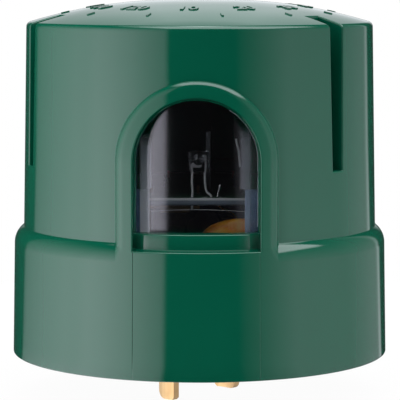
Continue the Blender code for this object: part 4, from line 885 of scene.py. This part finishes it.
def revealPatch():
    # a loop round the opening, carried inwards: front edge, reveal, sill, lens pocket and frame.
    # each step: offset outside the window's edge, radius from the axis, height of the floor
    floor, top, face, front = h.windowFloor, h.sillTop, h.sillFace, h.lensFront
    steps = [(-0.03, face + 0.9, floor + 0.02), (-0.05, face + 0.12, floor + 0.2),
             (-0.06, face + 0.03, floor + 0.24), (-0.06, face, floor + 0.34),
             (-0.1, face, floor + 1.0), (-0.2, face, top - 1.2), (-0.25, face, top - 0.30),
             (-0.28, face - 0.05, top - 0.12), (-0.3, face - 0.15, top - 0.03),
             (-0.32, face - 0.32, top), (-0.34, front + 0.55, top)]
    steps += [(-0.34 - h.lipStep * math.sin(a), front + 0.02 + h.lipEdge * math.cos(a), top)
              for a in arcSteps(0, 90, 6)]
    steps += [(-0.34 - h.lipStep, front, top), (2.7, front, h.pocketFoot),
              (2.7, h.pocketBack, h.pocketFoot), (0.3, h.pocketBack, h.frameTop),
              (0.3, h.frameBack, h.frameTop), (h.frameWidth, h.frameBack, h.frameFoot)]
    floorX = apron[-1, :, 0]
    groove = 1 / (1 + np.exp(-(np.abs(floorX) - h.sillHalf) / 0.05))
    sideX, sideUp, sideZ = pathX[overFloor], pathUp[overFloor], pathZ[overFloor]
    sideShare = np.clip((sideZ - floor) / (h.windowCentre - floor), 0, 1)
    loops = [np.concatenate([apron[-1], rim[0, overFloor][::-1][1:-1]])]
    for offset, radius, z0 in steps:
        reach = h.windowHalf + offset
        deep = h.grooveDepth if front + 0.5 < radius < face + 0.2 else 0.0
        fx = floorX * (reach / h.windowHalf)
        floorY = -np.sqrt((radius - deep * groove) ** 2 - fx ** 2)
        floorPoints = np.stack([fx, floorY, np.full(fx.shape, z0)], -1)
        x = sideX * reach
        z = np.where(sideUp == 0, z0 + sideShare * (h.windowCentre - z0), sideZ + sideUp * reach)
        sideRadius = radius - deep * np.clip(1 - (z - z0) / 1.5, 0, 1)
        side = np.stack([x, -np.sqrt(sideRadius ** 2 - x ** 2), z], -1)
        floorPoints[0], floorPoints[-1] = side[0], side[-1]
        loops.append(np.concatenate([floorPoints, side[::-1][1:-1]]))
    return np.array(loops)


reveal = revealPatch()


def insidePatches():
    # the inside: skirt bore, ledge over the plug base, body bore and the dome's underside,
    # with a jacket standing round each slot
    lip, lipZ = h.lipRound, h.rimZ + h.lipRound
    below = [(skirtRadiusAt(lipZ) + lip * (1 - math.cos(a)), lipZ - lip * math.sin(a))
             for a in arcSteps(90, 0, 5)]
    below += [(skirtRadiusAt(z), z) for z in (-3.0, 0.0, 3.0, h.ledge)]
    below += [(bodyRadiusAt(z), z) for z in (h.ledge, 8.0, 13.0, 17.0)]
    middle = [(bodyRadiusAt(z), z) for z in outside[floorRow:topRow + 1, 1]]
    topInner = bodyTop - h.wall
    above = [(r + h.wall, float(domeAt(r)) - h.wall)
             for r in (topInner, *np.linspace(topInner - 0.5, 0.0, 20))]
    profile = np.array(below + middle + above) - (h.wall, 0.0)
    start, end = len(below), len(below) + len(middle) - 1
    angles = np.repeat(turns[slotRow:slotRow + 1], len(profile), 0)
    radius, z = (np.repeat(profile[:, k:k + 1], columnCount, 1) for k in (0, 1))
    for centre, left, right in slotSpans:
        lateral = np.abs(h.jacketRadius * np.sin(angles - centre))
        near = (lateral < h.slotFootWidth / 2 + h.jacket) & (np.cos(angles - centre) > 0.5)
        near &= z > h.slotFoot - h.jacket
        radius = np.where(near, np.minimum(radius, h.slotBack - h.jacket), radius)
    points = roundTurn(radius, z, angles)
    # from the lens frame out to the block's edge, all the way round the opening
    bottom, topSide = points[start, :blockEnd + 1], points[end, :blockEnd + 1]
    leftSide, rightSide = points[start:end + 1, 0], points[start:end + 1, blockEnd]
    outer = np.concatenate([bottom, rightSide[1:], topSide[::-1][1:], leftSide[::-1][1:-1]])
    last, count = reveal[-1], apron.shape[1]
    extra = (len(bottom) - count) // 2
    inner = np.concatenate([np.repeat(last[:1], extra, 0), last[:count],
                            np.repeat(last[count - 1:count], extra, 0), last[count:]])
    # the lip's flat foot joins inside to outside
    return [maskedSheet(points, [(start, end, 0, blockEnd)]),
            sheet(np.stack([points[0], gridPoints[0]]), closed=True),
            between(inner, outer, 4, closed=True)]


def makeHousing():
    holes = [(footRow, topRow, 0, blockEnd)]
    holes += [(slotRow, backRow, left, right) for centre, left, right in slotSpans]
    patches = [maskedSheet(gridPoints, holes), sheet(rim), sheet(fadePatch()), sheet(apron),
               sheet(reveal, closed=True)] + slotPatches() + insidePatches()
    mesh = weld("housingShell", patches, sharpDeg=40.0)
    addPiece("housing_moulding", mesh, "mouldedPolycarbonate", "housing")


makeHousing()
print("housing made")


# The lens: a curved clear plate behind the window, with ribs behind its edges, and hazy strips and thin
# lines that are painted reflections and highlights.

lens = dict(
    swing=-0.35, front=34.99, radius=38.5, thick=2.0, half=15.35, foot=13.5, archCentre=38.3,
    ribIn=9.77, ribOut=12.76, ribBack=-28.4, ribTop=32.1, ribFoot=13.8, ribEdge=0.25,
    rimOut=(11.75, 10.95), returns=((-12.0, -9.4), (8.4, 11.3)), returnEdge=0.5, returnTop=46.0,
    returnDeep=2.0, lineZ=28.2, lineBow=0.0055, line=0.042, stepWire=0.2,
    # painted glint: the path of the hazy wire beside the right wall
    step=[(8.0, -32.4, 42.9), (8.15, -32.4, 42.0), (8.55, -32.3, 40.0), (8.8, -32.2, 37.0)],
    bevelOut=12.45, bevel=0.13, bevelFoot=24.4, bevelTurn=58.0)


def makeLens(v):
    # x runs as the sine of an even angle, z from the foot up to the arch above that x; both
    # go out to two upright cylinders whose axis is behind the plate
    def plateY(radius, x):
        return v.radius - v.front - np.sqrt(radius ** 2 - x ** 2)

    def border(grid):
        return np.concatenate([grid[0], grid[1:, -1], grid[-1, ::-1][1:], grid[::-1, 0][1:-1]])

    def add(name, patches, material, **more):
        addPiece("lens_" + name, weld("lensPart", patches, **more), material,
                 "window_lens" if name == "plate" else None)

    inR = v.radius - v.thick
    u = np.linspace(-np.pi / 2, np.pi / 2, 57)
    top = v.archCentre + v.half * np.cos(u)[None, :]
    z = v.foot + np.linspace(0, 1, 61)[:, None] * (top - v.foot)
    x = np.broadcast_to(v.half * np.sin(u)[None, :], z.shape)
    outer, inner = (np.stack([x, plateY(radius, x - v.swing), z], -1) for radius in (v.radius, inR))
    rim = sheet(np.stack([border(outer), border(inner)]), closed=True)
    add("plate", [sheet(outer), sheet(inner), rim], "mouldedAcrylic", sharpDeg=30.0)
    front = float(plateY(inR, v.ribOut)) + 0.2
    # painted light: the left web in the whiter copy, the right one in the plain bluish haze
    webs = ("paintedBrightAcrylic", "mattAcrylicWeb")
    for name, side, step, web in zip(("left", "right"), (-1.0, 1.0), v.rimOut, webs):
        for part, near, far, material in (("_web", v.ribIn, step, web),
                                          ("_flange", step, v.ribOut, "mattAcrylicRibAndHighlight")):
            low, high = sorted((side * near, side * far))
            block = roundedBlock((low, front, v.ribFoot), (high, v.ribBack, v.ribTop), v.ribEdge)
            add("rib_" + name + part, block, material)
    # painted reflections: hazy strips behind the plate's sides, standing in for the side lights the
    # plate reflects
    for name, (low, high), material in zip(("left", "right"), v.returns,
                                           ("paintedReflectionLeft", "paintedReflectionRight")):
        low, high = (low, front, v.ribTop + 0.02), (high, front + v.returnDeep, v.returnTop)
        add("reflection_strip_" + name, roundedBlock(low, high, v.returnEdge), material)
    # a painted highlight: a thin hazy line across the inner face, bowed like the curved highlight it
    # stands for
    x = np.linspace(-v.ribIn + 0.1, v.ribIn - 0.1, 40)
    path = np.stack([x, plateY(inR, x), v.lineZ - v.lineBow * x ** 2], -1)
    add("highlight_line", tube(path, v.line, 8), "paintedHighlightAcrylic")
    # a painted highlight: a thin hazy wire beside the right wall, standing in for a curved glint
    add("step", tube(smoothPath(v.step, 24), v.stepWire, 8), "paintedHighlightAcrylic")
    # painted highlights along the plate's edge: a thin hazy wire straight up each side, then part of the
    # way round the arch
    arc = arcSteps(0, v.bevelTurn, 14)[1:]
    z = np.concatenate([np.linspace(v.bevelFoot, v.archCentre, 12),
                        v.archCentre + v.bevelOut * np.sin(arc)])
    for name, side, material in (("left", -1.0, "mattAcrylicRibAndHighlight"), ("right", 1.0, "paintedBrightAcrylic")):
        x = side * v.bevelOut * np.concatenate([np.ones(12), np.cos(arc)])
        add("edge_highlight_" + name, tube(np.stack([x, plateY(inR, x) + 0.2, z], -1), v.bevel, 8), material)


makeLens(SimpleNamespace(**lens))
print("lens made")


# The light sensor: a lead frame in clear resin, its two round leads bent as they were fitted.

sensor = dict(
    low=(-2.0, -26.49, 35.4), high=(2.4, -24.09, 39.8), edge=0.45, bead=1.2, lead=0.24, y=-25.3,
    leads=([(-1.15, 27.55), (-1.15, 29.6), (-1.08, 31.2), (-1.2, 33.4), (-1.1, 35.0), (-1.16, 37.0)],
           [(2.2, 28.5), (2.5, 29.2), (2.8, 30.3), (1.9, 31.2), (1.58, 32.6), (1.5, 34.5),
            (1.62, 36.2), (1.55, 38.0)]),
    bars=(((-1.2, 36.35), (0.85, 37.35)), ((0.75, 37.75), (1.85, 38.95))), barDeep=0.45, barEdge=0.36,
    marks=[(-0.53, 38.5), (-0.01, 38.4)], markHalf=(0.14, 0.38), markDeep=(0.35, 0.1), markEdge=0.12)


def makeSensor(v):
    # the bead in front is a shallow cap: radius and depth follow a quarter of a circle
    (x0, y0, z0), x1, z1 = v.low, v.high[0], v.high[2]
    turnTo = arcSteps(0, 88, 9)[:, None]
    angle = np.linspace(0, 2 * np.pi, 33)[None, :-1]
    reach = v.bead * np.cos(turnTo)
    bead = np.stack([(x0 + x1) / 2 + reach * np.cos(angle),
                     y0 + 0.02 - 0.75 * v.bead * np.sin(turnTo) + 0 * angle,
                     z0 + 0.6 * (z1 - z0) + reach * np.sin(angle)], -1)
    body = roundedBlock(v.low, v.high, v.edge)
    body += [sheet(bead, closed=True), cap(bead[0]), cap(bead[-1])]
    addPiece("sensor_resin", weld("sensorResin", body), "castSensorResin", "light_sensor")
    metal = []
    for path in v.leads:
        metal += tube(smoothPath([(x, v.y, z) for x, z in path], 48), v.lead, 14)
    addPiece("sensor_leads", weld("sensorLeads", metal), "silverPlatedFrame")
    metal = []
    for low, high in v.bars:
        metal += roundedBlock((low[0], v.y - v.barDeep, low[1]),
                              (high[0], v.y + v.barDeep, high[1]), v.barEdge)
    (halfX, halfZ), (ahead, behind) = v.markHalf, v.markDeep
    for x, z in v.marks:
        metal += roundedBlock((x - halfX, v.y - ahead, z - halfZ),
                              (x + halfX, v.y + behind, z + halfZ), v.markEdge)
    # bars and marks in the lit copy of the plating: painted light
    addPiece("sensor_leadframe", weld("sensorLeadframe", metal), "litCopyPlatedFrame")


makeSensor(SimpleNamespace(**sensor))
print("sensor made")


# The varistor: a dipped disc, lumpy where the coat sagged, on two tinned leads.

varistor = dict(
    centre=(8.2, -24.4, 17.2), radius=8.0, thick=4.8, square=2.7, sag=0.4, lead=0.27,
    leads=[[(9.0, -22.0, 20.0), (8.8, -21.4, 24.0), (7.4, -22.0, 26.2), (5.0, -23.6, 27.6),
            (4.2, -24.4, 28.6), (4.2, -24.4, 30.3), (4.45, -24.3, 31.4), (4.75, -24.2, 32.6)],
           [(12.05, -23.4, 21.0), (12.05, -23.4, 26.0), (12.1, -24.4, 30.0), (12.0, -24.3, 31.6)]])


def makeVaristor(v):
    # a lens-like disc: radius and half thickness follow powers of the sine and cosine of the
    # polar angle, with a slow ripple for the sag. Its outline is a rounded square, on which
    # the sum of the powers of cosine and sine stays even
    cx, cy, cz = v.centre
    polar = np.linspace(0.02, np.pi - 0.02, 41)[:, None]
    around = np.linspace(0, 2 * np.pi, 97)[None, :-1]
    cos, sin = np.cos(around), np.sin(around)
    edge = (np.abs(cos) ** v.square + np.abs(sin) ** v.square) ** (-1 / v.square)
    ripple = v.sag * (np.sin(3 * around + 0.7) * np.sin(2 * polar)
                      + 0.6 * np.cos(5 * around - 1.1) * np.sin(polar) ** 3)
    reach = v.radius * edge * np.sin(polar) ** 0.75 + ripple * np.sin(polar)
    depth = v.thick / 2 * np.sign(np.cos(polar)) * np.abs(np.cos(polar)) ** 0.8 + 0 * around
    grid = np.stack([cx + reach * cos, cy + depth, cz + reach * sin], -1)
    disc = weld("varistorDisc", [sheet(grid, closed=True), cap(grid[0]), cap(grid[-1])])
    addPiece("varistor_disc", disc, "dippedEpoxy", "surge_varistor")
    metal = []
    for path in v.leads:
        metal += tube(smoothPath(path, 36), v.lead, 14)
    addPiece("varistor_leads", weld("varistorLeads", metal), "tinnedCopper")


makeVaristor(SimpleNamespace(**varistor))
print("varistor made")


# The gasket: a foam ring under the plug base, its cut edges slightly drawn in.

gasket = dict(inner=24.01, outer=33.52, top=0.5, foot=-2.3, edge=0.4, waist=0.12)


def makeGasket(v):
    # a rounded rectangle carried round; the cut walls bow in by the waist at half height
    e, rise = v.edge, np.linspace(0, 1, 9)[1:-1]
    bow, wallZ = v.waist * np.sin(np.pi * rise), v.foot + e + rise * (v.top - v.foot - 2 * e)

    def corner(cx, cz, start):
        a = arcSteps(start, start + 90, 5)
        return np.stack([cx + e * np.cos(a), cz + e * np.sin(a)], 1)

    profile = np.concatenate([
        corner(v.outer - e, v.foot + e, -90), np.stack([v.outer - bow, wallZ], 1),
        corner(v.outer - e, v.top - e, 0), corner(v.inner + e, v.top - e, 90),
        np.stack([v.inner + bow, wallZ], 1)[::-1], corner(v.inner + e, v.foot + e, 180)])
    ring = weld("gasketRing", [turn(np.concatenate([profile, profile[:1]]), 160)])
    addPiece("gasket_ring", ring, "neopreneFoam", "receptacle_gasket")


makeGasket(SimpleNamespace(**gasket))
print("gasket made")


# Plain numbers round the dome, and a tick between each pair, raised with the moulding.

dial = dict(numbers=[str(10 * n) for n in range(1, 13)], radius=23.5, size=4.6, weight=0.1,
            rise=0.24, sink=0.12, startDeg=-5.0, tickIn=28.8, tickOut=30.6, tickWidth=0.6, tickTop=0.7)


def numberMesh(words, v):
    # flat points (across, up, thickness) and polygons of a number
    curve = bpy.data.curves.new("number", "FONT")
    curve.body, curve.size, curve.offset = words, v.size, v.weight
    curve.align_x = curve.align_y = "CENTER"
    curve.resolution_u, curve.extrude = 3, 0.5
    item = bpy.data.objects.new("number", curve)
    scene.collection.objects.link(item)
    bpy.context.view_layer.update()
    flat = bpy.data.meshes.new_from_object(item.evaluated_get(bpy.context.evaluated_depsgraph_get()))
    points = np.array([vertex.co[:] for vertex in flat.vertices])
    polygons = [list(polygon.vertices) for polygon in flat.polygons]
    bpy.data.objects.remove(item)
    bpy.data.curves.remove(curve)
    bpy.data.meshes.remove(flat)
    return points, polygons


def makeDial(v):
    # each number's flat points (across, up) go to azimuth across/radius and to radius - up,
    # and its thickness stands on the dome's height there
    patches, count = [], len(v.numbers)
    for index, words in enumerate(v.numbers):
        points, polygons = numberMesh(words, v)
        across, up, thick = points.T
        azimuth = math.radians(v.startDeg + 360.0 * index / count) + across / v.radius
        height = domeAt(v.radius - up) + np.where(thick > 0, v.rise, -v.sink)
        patches.append((roundTurn(v.radius - up, height, azimuth), polygons))
    radius = np.linspace(v.tickIn, v.tickOut, 5)
    half = v.tickWidth / 2 / radius
    low, high = domeAt(radius) - v.sink, domeAt(radius) + v.rise
    for index in range(count):
        azimuth = math.radians(v.startDeg + 360.0 * (index + 0.5) / count)
        ring = np.stack([roundTurn(radius, z, azimuth + half * share) for z, share in
                         ((low, -1.0), (high, -v.tickTop), (high, v.tickTop), (low, 1.0))], 1)
        points, faces = sheet(ring, closed=True)
        patches.append((points, faces.tolist() + [[0, 1, 2, 3], [16, 17, 18, 19]]))
    mesh = cleanMesh("dialNumbers", patches, mergeMm=0.001, dissolve=False)
    addPiece("dome_numbers", mesh, "mouldedPolycarbonate")


makeDial(SimpleNamespace(**dial))
print("dial made")


# Nodes that keep their shape take a finish.

finishes = {
    "glassFilledNylon": ("plug_base",),
    "stampedBrass": ("line_blade", "load_blade", "neutral_blade",
                     "line_rivet", "load_rivet", "neutral_rivet"),
    "solderResistLaminate": ("circuit_board",),
    "zincPlatedSteel": ("board_screw_left", "board_screw_rear", "board_screw_right"),
    "greyNylonStrip": ("sensor_post",),
    "relayThermoplastic": ("relay",),
    "filmCapacitorCase": ("film_capacitor",),
    "shrunkSleeve": ("smoothing_capacitor",),
    "cementCoat": ("dropping_resistor",),
    "filmResistorCoat": ("bias_resistor",),
    "mouldedEpoxy": ("rectifier_diode_1", "rectifier_diode_2", "drive_transistor"),
    "wireInsulation_line": ("line_wire",),
    "wireInsulation_load": ("load_wire",),
    "wireInsulation_neutral": ("neutral_wire",),
}
for material, names in finishes.items():
    for name in names:
        slots = nodes[name].data.materials
        slots.clear()
        slots.append(made[material])
print("finishes given")
